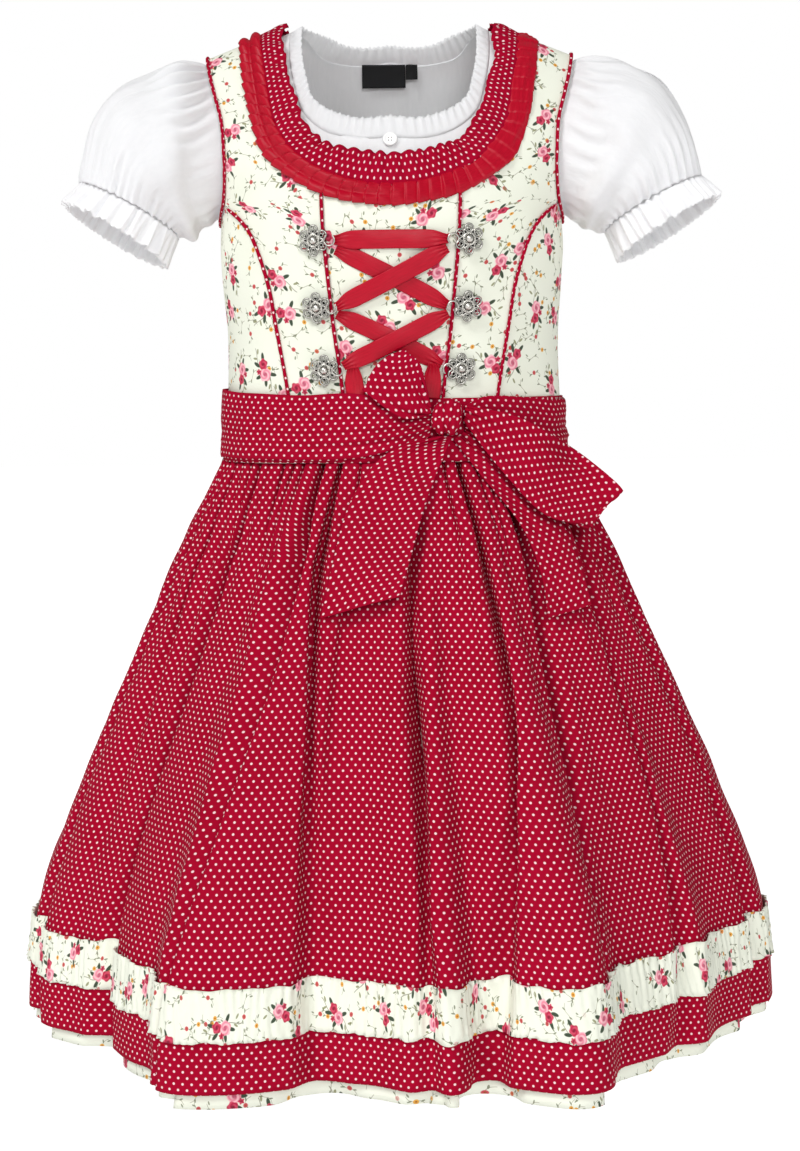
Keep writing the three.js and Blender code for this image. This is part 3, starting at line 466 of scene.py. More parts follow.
def flat_places(points):
    """Unrolls a grid of points: mm across from its middle column and mm up along that column."""
    steps = np.linalg.norm(np.diff(points, axis=1), axis=2)
    across = np.concatenate([np.zeros((len(points), 1)), np.cumsum(steps, axis=1)], axis=1)
    j = round((points.shape[1] - 1) / 2)
    up = path_length(points[:, j])
    return spots(across - across[:, [j]], np.broadcast_to(up[:, None], across.shape))

def swell(x, y, seed, size):
    """A gentle random unevenness between about -1 and 1, with hills about this size in mm."""
    dice = np.random.default_rng(seed)
    total = 0
    for _ in range(7):
        turn = dice.uniform(0, 2 * np.pi)
        wave = 2 * np.pi / (size * dice.uniform(0.7, 1.6))
        total = total + np.sin(wave * (x * np.cos(turn) + y * np.sin(turn)) + dice.uniform(0, 7))
    return total / 3.2

# %% Pieces and what they stand for
SIDES = (-1, "left"), (1, "right")

def stands_for(piece, node, flat=None, rests_on=None, area=None):
    """Fixes a piece to the frame, hides the frame's own piece and, given a cut, prints its cloth over that
    cut.
    """
    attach(piece, "root")
    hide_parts(node)
    if flat:
        both_sides = sum(face.area for face in piece.data.polygons)
        print("cloth over its cut", round(both_sides / 2 / (area or flat[0] * flat[1]), 2))
    print(piece.name, len(piece.data.polygons), "faces")

# %% [markdown]
# ## Dotted cotton
# The apron's cotton is dark red with small white dots in staggered rows. The dots are 5.7 mm
# apart in a row and the rows are 3.8 mm apart. Two square lattices, one moved by half a step,
# give the staggered rows. A little noise keeps the red from being one flat colour, and a fine
# weave goes into the bump.

# %% Dotted cotton
DOT_STEP, DOT_ROW, DOT_SIZE = 5.7, 3.8, 0.78

def dots(across, along):
    found = None
    for shift in (0, 0.5):
        x = ((across / DOT_STEP + shift).part() - 0.5) * DOT_STEP
        y = ((along / (2 * DOT_ROW) + shift).part() - 0.5) * (2 * DOT_ROW)
        distance = (x * x + y * y).root()
        found = distance if found is None else found.least(distance)
    return found.within(DOT_SIZE, 0.2)

def weave(across, along, step):
    """Threads over and under each other, as heights from 0 to 1."""
    turn = 2 * math.pi / step
    return ((across * turn).sine() * (along * turn).sine()) * 0.5 + 0.5

def make_dotted():
    cotton = Finish("dotted cotton", Roughness=0.9, Specular_IOR_Level=0.05)
    across, along = cotton.cloth()
    cloudy = cotton.noise(cotton.spot_at(across, along), 0.03, 3)
    fine = cotton.noise(cotton.spot_at(across, along), 1.3, 2)
    red = cotton.paint(cloudy, shade(150, 4, 36), shade(170, 8, 47))
    red = cotton.paint(fine * 0.35, red, shade(124, 2, 24))
    cotton.show("Base Color", cotton.paint(dots(across, along) * 0.96, red, shade(238, 208, 210)))
    cotton.bump(weave(across, along, 0.7) + fine, 0.35, 0.0002)
    return cotton

dotted_cotton = make_dotted()

# %% [markdown]
# ## Floral cotton
# The dress is a cream cotton with scattered sprays: a pink and a red rose with a bud and dark
# leaves, small ochre flowers, and thin twigs. This print has a layout of its own. A Voronoi
# texture gives random centres. Round each centre every distance and angle is known, so a rose is
# a disc whose tone turns in a spiral, leaves are lobes between two radii, and a twig is a thin
# curved line. Each centre turns its spray by its own random angle.

# %% Motifs of the print
def round_spot(x, y, at_x, at_y, radius, soft=0.35):
    """A disc's mask, the distance from its middle and the way there."""
    dx = x - at_x
    dy = y - at_y
    distance = (dx * dx + dy * dy).root()
    return distance.within(radius, soft), distance, dx, dy

def slim_leaf(x, y, at_x, at_y, turn, length, width):
    c, s = math.cos(turn), math.sin(turn)
    dx = x - at_x
    dy = y - at_y
    u = (dx * c + dy * s) / length
    v = (dy * c - dx * s) / width
    return (u * u + v * v).root().within(1, 0.16)

def scatter(finish, across, along, spacing, shift, loose):
    """Turned coordinates round the nearest random centre, and two random numbers for it."""
    place = finish.spot_at(across + shift, along + shift * 0.7)
    cell = finish.tree.nodes.new("ShaderNodeTexVoronoi")
    cell.voronoi_dimensions = "2D"
    finish.tree.links.new(place.socket, cell.inputs["Vector"])
    cell.inputs["Scale"].default_value = 1 / spacing
    cell.inputs["Randomness"].default_value = loose
    centre = Wire(finish, cell.outputs["Position"])
    chance = Wire(finish, cell.outputs["Color"])
    away_x = finish.axis(place, 0) - finish.axis(centre, 0)
    away_y = finish.axis(place, 1) - finish.axis(centre, 1)
    first = finish.axis(chance, 0)
    turn = first * (2 * math.pi)
    c = turn.cosine()
    s = turn.sine()
    return away_x * c + away_y * s, away_y * c - away_x * s, first, finish.axis(chance, 1)

# %% Sprays of the print
# where a leaf lies round its flower, in millimetres, and how it is turned
SMALL_LEAVES = (11, 2.2, 0.9), (13.5, -2.6, -0.7), (-11.5, 1.6, 2.3), (-14, -3.4, -2.4)
LARGE_LEAVES = (-7.4, 2.6, 2.6), (-1.4, 5.8, 1.4), (6.6, 3, 0.5), (8, -4.2, -0.5), (-6, -4.8, -2.3)
STEM_LEAVES = (3.1, 1.7, 0.8), (-3.3, -1.6, -2.4), (5.6, -1.5, -0.6)

def lay_rose(cotton, colour, x, y, spot, dark, middle, light):
    """Petals: a tone that turns as it goes out, and a dark heart."""
    distance, dx, dy = round_spot(x, y, *spot)[1:]
    turn = cotton.node("Math", {"operation": "ARCTAN2"}, {0: dy, 1: dx})
    petals = (turn * 2 + distance * 2.3).sine() * 0.5 + 0.5
    tone = cotton.paint(petals, middle, light)
    tone = cotton.paint(distance.within(spot[2] * 0.33, 0.7) * 0.8, tone, dark)
    ragged = (turn * 5 + 1).sine() * 0.35
    return cotton.paint((distance + ragged).within(spot[2], 0.4), colour, tone)

def lay_sprays(cotton, colour, across, along):
    x, y, _, second = scatter(cotton, across, along, 37, 5, 0.8)
    leaf_dark = shade(62, 74, 58)
    leaf_light = shade(126, 128, 84)
    twig = shade(118, 112, 92)
    shape = y - (x * 0.28).sine() * 1.9
    line = shape.size().within(0.3, 0.22) * x.size().within(16.5, 0.6) * second.within(0.9, 0.02)
    colour = cotton.paint(line * 0.8, colour, twig)
    for at in SMALL_LEAVES:
        colour = cotton.paint(slim_leaf(x, y, *at, 1.9, 0.75) * 0.85, colour, leaf_light)
    for at in LARGE_LEAVES:
        colour = cotton.paint(slim_leaf(x, y, *at, 3.1, 1.25), colour, leaf_dark)
    pinks = shade(176, 58, 92), shade(226, 132, 152), shade(243, 190, 196)
    reds = shade(110, 14, 40), shade(178, 34, 68), shade(206, 76, 100)
    colour = lay_rose(cotton, colour, x, y, (-2.6, 0.4, 4.7), *pinks)
    colour = lay_rose(cotton, colour, x, y, (3.9, -1.9, 3.6), *reds)
    return lay_rose(cotton, colour, x, y, (1.6, 4.2, 1.9), *reds)

def lay_small_flowers(cotton, colour, across, along, spacing, shift):
    x, y, first, second = scatter(cotton, across, along, spacing, shift, 0.9)
    keep = second.within(0.62, 0.02)
    bend = y - (x * 0.55).sine() * 1.1
    stem = bend.size().within(0.2, 0.18) * x.size().within(6.5, 0.4)
    colour = cotton.paint(stem * 0.75, colour, shade(132, 126, 104))
    for at in STEM_LEAVES:
        colour = cotton.paint(slim_leaf(x, y, *at, 1.35, 0.5) * 0.8, colour, shade(98, 106, 74))
    mask, distance = round_spot(x, y, 0, 0.4, 1.5, 0.3)[:2]
    ochre = cotton.paint(first.within(0.5, 0.02), shade(196, 74, 84), shade(222, 162, 66))
    ochre = cotton.paint(distance.within(0.5, 0.2), ochre, shade(150, 84, 40))
    return cotton.paint(mask * keep, colour, ochre)

# %% Floral cotton
def make_floral():
    cotton = Finish("floral cotton", Roughness=0.82, Specular_IOR_Level=0.25)
    across, along = cotton.cloth()
    place = cotton.spot_at(across, along)
    fine = cotton.noise(place, 1.1, 2)
    colour = cotton.paint(cotton.noise(place, 0.02, 2), shade(226, 229, 212), shade(237, 240, 227))
    colour = cotton.paint(fine * 0.25, colour, shade(220, 220, 204))
    colour = lay_small_flowers(cotton, colour, across, along, 17, 61)
    colour = lay_small_flowers(cotton, colour, across, along, 22, 143)
    colour = lay_sprays(cotton, colour, across, along)
    cotton.show("Base Color", colour)
    cotton.bump(weave(across, along, 0.7) + fine, 0.3, 0.0002)
    return cotton

floral_cotton = make_floral()

# %% [markdown]
# ## How cloth gathers
# A wide apron is drawn together at the waist. Between the waist and the hem the spare cloth has
# to go somewhere: it goes inwards, in grooves. Each groove has a place round the skirt, a share
# of the spare cloth and a height where it dies away. At every height the spare cloth is the cut
# width less the length round the form. Inside a groove the cloth turns from going round to going
# inwards, and back. So going a millimetre along the cloth moves less than a millimetre round the
# skirt, and the rest of the way is depth. Four fixed lines (the back, the apron's two edges and
# the front) divide the skirt, and along them the cloth's own threads run straight down.
# The skirt under the apron is a lower layer. It must not show through the apron's grooves, so at
# each place it lies as deep as the deepest groove near it, and at middle height it goes inwards
# straight towards the middle of the skirt.

# %% Grooves
APRON_SIDE = 108  # angle of the apron's edges
FIXED_LINES = np.array([-180, -APRON_SIDE, -4.5, APRON_SIDE, 180])
GROOVE_HEIGHTS = np.array([-280.0, -345, -430, -560, -680])
HEIGHTS = np.linspace(WAIST, -684, 118)

# angle at the waist, at -345, at -430, at -560 and at the hem, share of the spare cloth at those
# heights, sideways lean, and the groove's least half width there
MAIN_GROOVES = table("""
    -23.8 -24.6 -26   -27   -28.5  1.6 2.6 3.4 4.4 5    0.6   2  4  8  13  15
    7.5   4.6   2.6   2.2   2.2    1.6 2.4 3   2.8 1.6  -0.1  2  6  11 16  18
    34    38.5  34.5  28.5  27     1.2 2.2 2.8 3   3.4  -0.35 2  4  8  13  15
    -50   -50.5 -52   -54   -56    1.5 2   2.2 2.4 2    0.1   2  5 12  20  26
    -17.6 -17.6 -15   -12   -11    1.2 1.4 1.2 1.2 1    0     2  6 14  20  24
    21.2  21.2  19    14    11.5   1.3 1.4 1.6 1.6 1.2  0.25  2  6 12  18  20
    62    60    54    50    47     1.2 1.7 2   1.8 1.4  0     2  6 12  18  26
    -76   -77   -78   -78   -78    1.3 1.6 2   1.8 1.4  0     2  6 12  20  26
    79    79    78    76    76     1.3 1.8 2.2 1.8 1.4  0     2  6 12  20  26
    -96   -97   -99   -100  -100   1.2 1.6 1.8 1.6 1.4  0.1   2  6 12  20  26
    97    98    100   101   101    1.2 1.6 1.8 1.6 1.4  -0.1  2  6 12  20  26
    117   118   118   118   118    1.4 2   2.4 2.2 1.6  0     2  6 12  20  26
    -118  -118  -116  -115  -115   1.4 2   2.4 2.2 1.6  0     2  6 12  20  26
    132   133   134   135   136    1.2 1.5 1.8 1.2 0.8  0.1   2  6 14  20  26
    -133  -135  -138  -139  -139   1.2 1.5 1.6 1.2 0.8  0     2  6 14  20  26
    153   155   157   158   158    1.4 2.2 2.6 2.4 2    0     2  6 12  20  26
    -155  -157  -159  -160  -160   1.4 2.2 2.6 2.4 2    0.1   2  6 12  20  26
    176   175   173   172   172    1.2 1.5 1.4 1   0.8  0     2  6 14  20  26
""").T

def small_grooves():
    """The many short gathers between the main grooves, which die away below the waist."""
    dice = np.random.default_rng(5)
    rows = []
    at = -178.0
    while at < 178:
        if np.abs(MAIN_GROOVES[:, 0] - at).min() > 2.7 and np.abs(FIXED_LINES - at).min() > 2.2:
            waist_share = dice.uniform(0.35, 1.1)
            fade = dice.choice([0.06, 0.2, 0.5], p=[0.5, 0.35, 0.15])
            drift = dice.uniform(-1.5, 1.5)
            shares = [waist_share * fade ** k for k in (0, 0.9, 2, 3.4, 5)]
            rows.append([at, *[at + drift] * 4, *shares, 0, 1.5, 5, 10, 16, 20])
        at += dice.uniform(3.6, 6.6)
    return np.array(rows)

GROOVES = np.concatenate([MAIN_GROOVES, small_grooves()])
print("grooves round the skirt:", len(GROOVES))

# %% The length round the form and the spare cloth
ROUND = np.linspace(-180, 180, 1441)

def lengths_round(z):
    return path_length(skirt_point(ROUND, z))

HEM_SPARE = np.array([18.0, 44, 44, 18])  # mm still taken up at the hem between the fixed lines
hem_lengths = np.interp(FIXED_LINES, ROUND, lengths_round(-680))
CUT = summed(np.diff(hem_lengths) + HEM_SPARE)
CUT -= CUT[2]  # lengths along the cloth count from the fixed line near the front centre
print("cut width of the skirt", round(float(CUT[-1] - CUT[0])), "mm")

# %% One row of gathered cloth
ALONG_CLOTH = np.linspace(CUT[0], CUT[-1], 2401)
SAMPLES = np.linspace(0, 1, 61)
LEVEL = np.array([1, 1, 0])  # takes the upright part out of a direction

def groove_profile(fullness, squareness):
    """How deep a groove of half width 1 is from its middle to its edge."""
    bend = 1 - np.abs(2 * SAMPLES - 1) ** squareness
    going = 1 - fullness * bend
    slope = np.sqrt(np.maximum(0, 1 - going ** 2))
    way = summed((slope[1:] + slope[:-1]) / 2 * (SAMPLES[1] - SAMPLES[0]))
    return way[-1] - way

def under_apron(angle, soft=6):
    """1 where the apron lies over the skirt, and 0 behind its edges."""
    return clamp((APRON_SIDE - np.abs(angle)) / soft)

SLOTS = 2  # slots in a millimetre

def deepest_near(here, leaned, depth, reach):
    """The greatest depth within reach of every place, smoothed over a few millimetres."""
    slots = np.zeros(round(leaned.max()) * SLOTS + 40)
    np.maximum.at(slots, np.clip(np.rint(leaned * SLOTS).astype(int), 0, len(slots) - 1), depth)
    wide = slots
    for shift in range(1, reach * SLOTS + 1):
        wide = np.maximum(wide, np.maximum(np.roll(slots, shift), np.roll(slots, -shift)))
    wide = np.convolve(wide, np.ones(7) / 7, "same")
    return np.interp(here, np.arange(len(slots)) / SLOTS, wide)

STRAIGHT = (-560, -500, -385, -345), (0, 1, 1, 0)  # heights where the lower layer goes straight inwards

def lower_depth(z, angle, lengths, depth, lean):
    """How deep the lower layer must lie so that the leaning grooves above it have room."""
    here = np.interp(angle, ROUND, lengths)
    form, off, sideways = skirt_frame(angle, np.full_like(angle, z))
    upper = form - unit(off * LEVEL) * depth[:, None] + sideways * lean[:, None]
    turn = np.unwrap(np.arctan2(form[:, 0], -form[:, 1]))
    turn_upper = np.arctan2(upper[:, 0], -upper[:, 1])
    form_radius = np.interp(turn_upper, turn, np.hypot(form[:, 0], form[:, 1]))
    room = np.maximum(form_radius - np.hypot(upper[:, 0], upper[:, 1]), 0)
    straight = deepest_near(here, np.interp(turn_upper, turn, here), room, 6)
    return blend(deepest_near(here, here + lean, depth, 8), straight, np.interp(z, *STRAIGHT))

def gathered_row(z):
    """For every place along the cloth: angle, depth, lean, then depth and lean of the lower layer."""
    lengths = lengths_round(z)
    squareness = np.interp(z, [-430, -330, -280], [2, 3.2, 6])
    angle = np.empty_like(ALONG_CLOTH)
    depth = np.zeros_like(ALONG_CLOTH)
    lean = np.zeros_like(ALONG_CLOTH)
    at, share, least = [
        np.array([np.interp(-z, -GROOVE_HEIGHTS, row[first:first + 5]) for row in GROOVES])
        for first in (0, 5, 11)
    ]
    for k in range(4):
        low, high = FIXED_LINES[k], FIXED_LINES[k + 1]
        inside = (ALONG_CLOTH >= CUT[k] - 1e-6) & (ALONG_CLOTH <= CUT[k + 1] + 1e-6)
        place = ALONG_CLOTH[inside]
        start, end = np.interp([low, high], ROUND, lengths)
        spare = CUT[k + 1] - CUT[k] - (end - start)
        mine = np.flatnonzero((at > low) & (at < high))
        mine = mine[np.argsort(at[mine])]
        taken = spare * share[mine] / share[mine].sum()
        before = summed(taken)[:-1]
        centre = CUT[k] + np.interp(at[mine], ROUND, lengths) - start + before + taken / 2
        lost = np.zeros_like(place)
        for g, mid, eaten in zip(mine, centre, taken):
            half = max(least[g], eaten * (squareness + 1) / (1.9 * squareness), 0.5)
            half = min(half, mid - CUT[k], CUT[k + 1] - mid)
            fullness = eaten * (squareness + 1) / (2 * half * squareness)
            away = np.abs(place - mid) / half
            bend = np.where(away < 1, 1 - np.abs(2 * away - 1) ** squareness, 0)
            lost += fullness * bend
            dip = half * np.interp(away, SAMPLES, groove_profile(fullness, squareness), right=0)
            depth[inside] += dip
            lean[inside] += dip * GROOVES[g, 10] * min(1, (WAIST - z) / 120)
        step = place[1] - place[0]
        share_lost = spare / max(lost.sum() * step, 1e-6)
        going = np.maximum(0.03, 1 - lost * share_lost)
        way = summed((going[1:] + going[:-1]) / 2)
        angle[inside] = np.interp(start + way / way[-1] * (end - start), lengths, ROUND)
    covered = under_apron(angle)
    low_depth = blend(depth, lower_depth(z, angle, lengths, depth, lean), covered)
    return angle, depth, lean, low_depth, lean * (1 - covered)

GATHERS = np.array([gathered_row(z) for z in HEIGHTS])
print("deepest groove", round(float(GATHERS[:, 1].max()), 1), "mm")

# %% Looking the gathers up
def between_rows(kind, along, z):
    """A value of the gathers at any place along the cloth and any height."""
    row = np.clip((WAIST - z) / (HEIGHTS[0] - HEIGHTS[1]), 0, len(HEIGHTS) - 1.001)
    column = (along - CUT[0]) / (ALONG_CLOTH[1] - ALONG_CLOTH[0])
    column = np.clip(column, 0, len(ALONG_CLOTH) - 1.001)
    i, j = row.astype(int), column.astype(int)
    s, t = row - i, column - j
    field = GATHERS[:, kind]
    top = blend(field[i, j], field[i, j + 1], t)
    foot = blend(field[i + 1, j], field[i + 1, j + 1], t)
    return blend(top, foot, s)

DROP, FLARE = np.gradient(SKIRT_KEYS[0]), np.gradient(SKIRT_KEYS[1])
SLANT = np.hypot(FLARE, DROP) / np.abs(DROP)

def length_down(z):
    """Millimetres of cloth from the waist down to this height."""
    heights = np.linspace(WAIST, -700, 200)
    steps = np.interp(heights, SKIRT_KEYS[0], SLANT) * (heights[0] - heights[1])
    return np.interp(-z, -heights, np.cumsum(steps) - steps[0])

def on_skirt(along, z, lift, lower=False):
    """Points of gathered cloth lying this far off the skirt form."""
    angle = between_rows(0, along, z)
    points, off, sideways = skirt_frame(angle, z)
    outwards = unit(off * LEVEL)
    depth = between_rows(3 if lower else 1, along, z)
    lean = between_rows(4 if lower else 2, along, z)
    if lower:
        straight = (under_apron(angle) * np.interp(z, *STRAIGHT))[..., None]
        outwards = unit(blend(outwards, unit(points * LEVEL), straight))
    points = points + off * np.asarray(lift)[..., None]
    return points - outwards * depth[..., None] + sideways * lean[..., None]

# %% [markdown]
# ## Skirt, apron and the ruched band
# The three share one set of grooves and lie on each other, a few millimetres apart. The band is a
# strip of the dress's own print. It is ruched: sewn on drawn together, so it has fine upright
# crinkles and its two edges stand up in small frills.

# %% Skirt
SKIRT_HEM, APRON_HEM = -680, -670
SKIRT_LIFT, APRON_LIFT = -0.4, 1.9
HOLLOW = 3  # how far the skirt is drawn in under the apron
LAID_SMOOTH = 0.88  # share of the front's cut that its smoother folds under the apron take up
WHOLE_CUT = CUT[-1] - CUT[0]
SIDE = np.interp([-90, 90], between_rows(0, ALONG_CLOTH, np.full(2401, -500.0)), ALONG_CLOTH)

def skirt_panel(start, end, top, foot, lift, seed, lower=False, hollow=0):
    def shape(across, up):
        cut = blend(start, end, across)
        along = np.where(cut > CUT[-1], cut - WHOLE_CUT, cut)
        z = blend(foot, top, up)
        uneven = 0.5 * swell(along, z, seed, 46)
        hidden = hollow * under_apron(between_rows(0, along, z), 8)
        lifted = lift + (uneven - hidden) * clamp((WAIST - z) / 40)
        return on_skirt(along, z, lifted, lower), spots(cut, -length_down(z))
    return shape

SKIRT_PANELS = (
    ("front", SIDE[0], SIDE[1], 300, HOLLOW, LAID_SMOOTH, "bodice_plastron"),
    ("back", SIDE[1], SIDE[0] + WHOLE_CUT, 280, 0, 1, "bodice_back_left"),
)

def make_skirt():
    for name, start, end, columns, hollow, laid, above in SKIRT_PANELS:
        shape = skirt_panel(start, end, WAIST, SKIRT_HEM, SKIRT_LIFT, 11, True, hollow)
        piece = lay_cloth(f"skirt_{name}_cloth", columns, 60, shape, 0.9, finish=floral_cotton)
        size = (end - start) * laid * MM, float(length_down(SKIRT_HEM)) * MM
        stands_for(piece, f"skirt_{name}", size, above)

make_skirt()

# %% Apron
APRON_EDGES = CUT[1], CUT[3]
APRON_WIDTH = (APRON_EDGES[1] - APRON_EDGES[0]) * MM

def make_apron():
    panel = skirt_panel(*APRON_EDGES, WAIST + 1.5, APRON_HEM, APRON_LIFT, 12)
    piece = lay_cloth("apron_panel_cloth", 440, 90, panel, 0.7, finish=dotted_cotton)
    size = APRON_WIDTH, float(length_down(APRON_HEM)) * MM
    stands_for(piece, "apron_panel", size, "skirt_front_cloth")

make_apron()

# %% Ruched band
BAND_TOP, BAND_FOOT = -604, -637
BAND_LIFT = 3.4
RUCHING = 1.35  # cut length over sewn length
CRINKLES = 400

def make_band():
    dice = np.random.default_rng(21)
    steps = np.cumsum(dice.uniform(3.2, 9, CRINKLES))
    heights = dice.uniform(0.25, 1, CRINKLES)
    def crinkle(along, sharpness):
        place = along - APRON_EDGES[0]
        k = np.clip(np.searchsorted(steps, place), 1, CRINKLES - 1)
        t = (place - steps[k - 1]) / (steps[k] - steps[k - 1])
        return heights[k] * np.abs(np.sin(np.pi * t)) ** sharpness
    def shape(across, up):
        along = blend(*APRON_EDGES, across)
        edge = np.abs(2 * up - 1)
        drift = 2.2 * swell(along, 40 * up, 31, 60)
        fine = crinkle(along + drift * edge, 0.8)
        frill = clamp((edge - 0.78) / 0.22)
        soft = 1.6 * fine + 0.6 * swell(along, 40 * up, 33, 5.5)
        lift = BAND_LIFT + soft * (0.55 + 0.45 * edge)
        lift = lift + frill * (1.1 * fine + 0.8 * swell(along, 0 * up, 35, 9))
        grow = 1.0 * frill * swell(along, 0 * up, 36, 11) * np.sign(up - 0.5)
        z = blend(BAND_FOOT, BAND_TOP, up) + grow + 0.7 * swell(along, 0 * up, 37, 30)
        points = on_skirt(along, z, lift)
        return points, spots(along * RUCHING, blend(0, 33, up))
    piece = lay_cloth("ruched_band", 1000, 10, shape, 0.6, finish=floral_cotton)
    stands_for(piece, "apron_trim", (APRON_WIDTH * RUCHING, 0.036), "apron_panel_cloth")

make_band()

# %% [markdown]
# ## Bodice
# The bodice is cut in seven pieces that follow the torso form: a plastron between the lacing
# seams, two fronts, two side fronts and two backs. Each is a sheet between its two seam lines.
# Worn cloth is never quite smooth, so each piece has slow, shallow hollows that fade out towards
# its seams. More rows lie near the shoulder, where the form turns over quickly.

# %% Seam lines
LACING_SEAM = table("""
    -280 32
    -230 34.5
    -190 39.5
    -155 43
    -120 46
    -86  47
""")
PRINCESS_SEAM = table("""
    -280 66
    -234 71.5
    -182 80
    -158 84
    -127 94
    -113 103
    -100 117.5
""")

# level and angle of the armhole's edge, and of the far side of the piping on it
ARMHOLE = table("""
    0     70   0      66
    -3.4  69   -3.4   65.2
    -13.4 66.2 -13.4  62.8
    -29   62.6 -29    59.6
    -50   60   -50    57
    -74   63.2 -75.2  60.4
    -95   72   -98    69.6
    -106  81   -109.2 79.6
    -112  90   -115.2 90
""")

# distance from the centre and level of the neck edge, the satin's edge and the dotted edge
NECK_FRONT = table("""
    90   0     104  0      71.5 0
    88.5 -11   103  -8     71   -15
    84.5 -32   100  -30    68   -32
    80   -54   95   -52    62   -47
    74   -65   88   -71    56   -61
    64   -76   77.5 -83    46   -71
    47   -86   52   -97.5  36   -74.5
    23   -93   23   -104.5 17   -79
    0    -94.5 0    -107   0    -80
""")
NECK_BACK = table("""
    90 0   104 0   71.5 0
    86 -12 99  -18 68   -5
    74 -28 84  -38 57   -13
    52 -42 57  -56 38   -21
    26 -48 28  -63 18   -25
    0  -50 0   -65 0    -26
""")

def seam_at(seam, level):
    return smooth(seam[0], seam[1], level)

def curve_through(points, at, closed=False):
    """A smooth curve through a list of points, at row numbers that may be fractions."""
    count = len(points)
    at = np.asarray(at, float)
    i = np.floor(at).astype(int) if closed else np.clip(np.floor(at).astype(int), 0, count - 2)
    t = (at - i)[(...,) + (None,) * (points.ndim - 1)]
    pick = (lambda k: points[k % count]) if closed else (lambda k: points[np.clip(k, 0, count - 1)])
    a, b, c, d = pick(i - 1), pick(i), pick(i + 1), pick(i + 2)
    return b + 0.5 * t * (c - a + t * (2 * a - 5 * b + 4 * c - d + t * (3 * (b - c) + d - a)))

def armhole_angle(level):
    return smooth(ARMHOLE[0][::-1], ARMHOLE[1][::-1], level)

# %% Bodice pieces
BODICE_FOOT = WAIST + 0.3
NECK_TOP = -86

def worn(across, up, points, seed, height):
    """Shallow hollows of worn cloth that fade out at the edges of a piece."""
    rim = clamp(6 * np.minimum(across, 1 - across)) * clamp(7 * np.minimum(up, 1 - up))
    return height * rim * swell(points[..., 0], points[..., 2] * 0.6, seed, 44)

def laid_flat(name, grid, place_of, finish, seed, lift=0, wall=0.9, height=0.9, shift=(0, 0)):
    """A sheet on the torso form between lines that place_of gives as angles and levels."""
    def shape(across, up):
        angle, level = place_of(across, up)
        points, off = torso_spot(angle, level)
        points = points + off * (lift + worn(across, up, points, seed, height))[..., None]
        return points, flat_places(points) + np.array(shift)
    return lay_cloth(name, *grid, shape, wall, finish=finish)

def plastron_place(across, up):
    side = 2 * across - 1
    top = np.interp(np.abs(side) * 47, NECK_FRONT[0][::-1], NECK_FRONT[1][::-1])
    level = blend(BODICE_FOOT, top, up)
    return torso_angle(side * (seam_at(LACING_SEAM, level) - 0.1), level), level

def front_place(side):
    def place(across, up):
        level = BODICE_FOOT * (1 - up) ** 1.6
        neck = np.interp(level, NECK_FRONT[1][::-1], NECK_FRONT[0][::-1])
        inner = np.where(level <= NECK_TOP, seam_at(LACING_SEAM, level) + 0.1, neck)
        outer_low = torso_angle(seam_at(PRINCESS_SEAM, np.minimum(level, ARMPITS)) - 0.1, level)
        outer = np.where(level <= ARMPITS, outer_low, armhole_angle(level))
        share = across if side > 0 else 1 - across
        return side * blend(torso_angle(inner, level), outer, share), level
    return place

def side_front_place(side):
    def place(across, up):
        share = across if side > 0 else 1 - across
        join = torso_angle(117.5, ARMPITS)
        top = np.interp(blend(join, 90, share), ARMHOLE[1][4:], ARMHOLE[0][4:]) - 0.2
        level = blend(BODICE_FOOT, np.minimum(top, ARMPITS - 0.2), up)
        inner = torso_angle(seam_at(PRINCESS_SEAM, level) + 0.1, level)
        return side * blend(inner, 89.9, share), level
    return place

def yoke_place(neck, foot, side, front):
    """Rows across from the side seam and armhole to the centre; the upper ones fan to the neck."""
    tops = np.array([[70, 0], [torso_angle(110, 0), 0], *spots(torso_angle(neck[0], neck[1]), neck[1])])
    def place(across, up):
        share = across if (side > 0) != front else 1 - across
        j = share * (len(tops) - 1)
        end = curve_through(tops, j)
        start = 90 * (1 - share)
        low = 0.55 if foot < -200 else 0.2
        k = 8 * (1 - clamp((up - low) / (1 - low)))
        level, edge = np.moveaxis(curve_through(ARMHOLE.T, k)[..., :2], -1, 0)
        rise = 1 - level / UNDERARM
        fit = edge / blend(90, 70, rise)
        high_angle = blend(start, end[..., 0], rise) * fit
        high_level = blend(UNDERARM, end[..., 1], rise)
        angle = np.where(up < low, start, high_angle)
        level = np.where(up < low, blend(foot, UNDERARM, up / low), high_level)
        return side * (angle if front else 180 - angle), np.minimum(level, -0.02)
    return place

def make_bodice():
    def lay(name, grid, place, seed, shift, size, area=None, height=0.9):
        piece = laid_flat(name, grid, place, floral_cotton, seed, shift=shift, height=height)
        stands_for(piece, f"bodice_{name}", size, area=area)
    lay("plastron", (32, 50), plastron_place, 41, (12, 40), (0.095, 0.2), height=0.7)
    for side, name in SIDES:
        shift = (90 + 31 * side, 17 * side)
        lay(f"front_{name}", (30, 80), front_place(side), 42 + side, shift, (0.075, 0.33), 0.0185)
        shift = (210 + 45 * side, 23 * side)
        lay(f"side_front_{name}", (26, 40), side_front_place(side), 52 + side, shift, (0.09, 0.175), 0.0128)
        shift = (330 + 60 * side, 31 * side)
        place = yoke_place(NECK_BACK, BODICE_FOOT, side, False)
        lay(f"back_{name}", (50, 70), place, 62 + side, shift, (0.165, 0.31), 0.0405)

make_bodice()

# %% [markdown]
# ## Piping
# Piping is a thin cord wrapped in the dotted cotton and caught in a seam. It is a tube with an
# oval section that follows the seam. Its two ends shrink to a point under the waistband and
# under the ruffle, and round an armhole it closes into a ring.

# %% Piping
PIPING_ROUND = 8.4  # mm of cloth round the cord

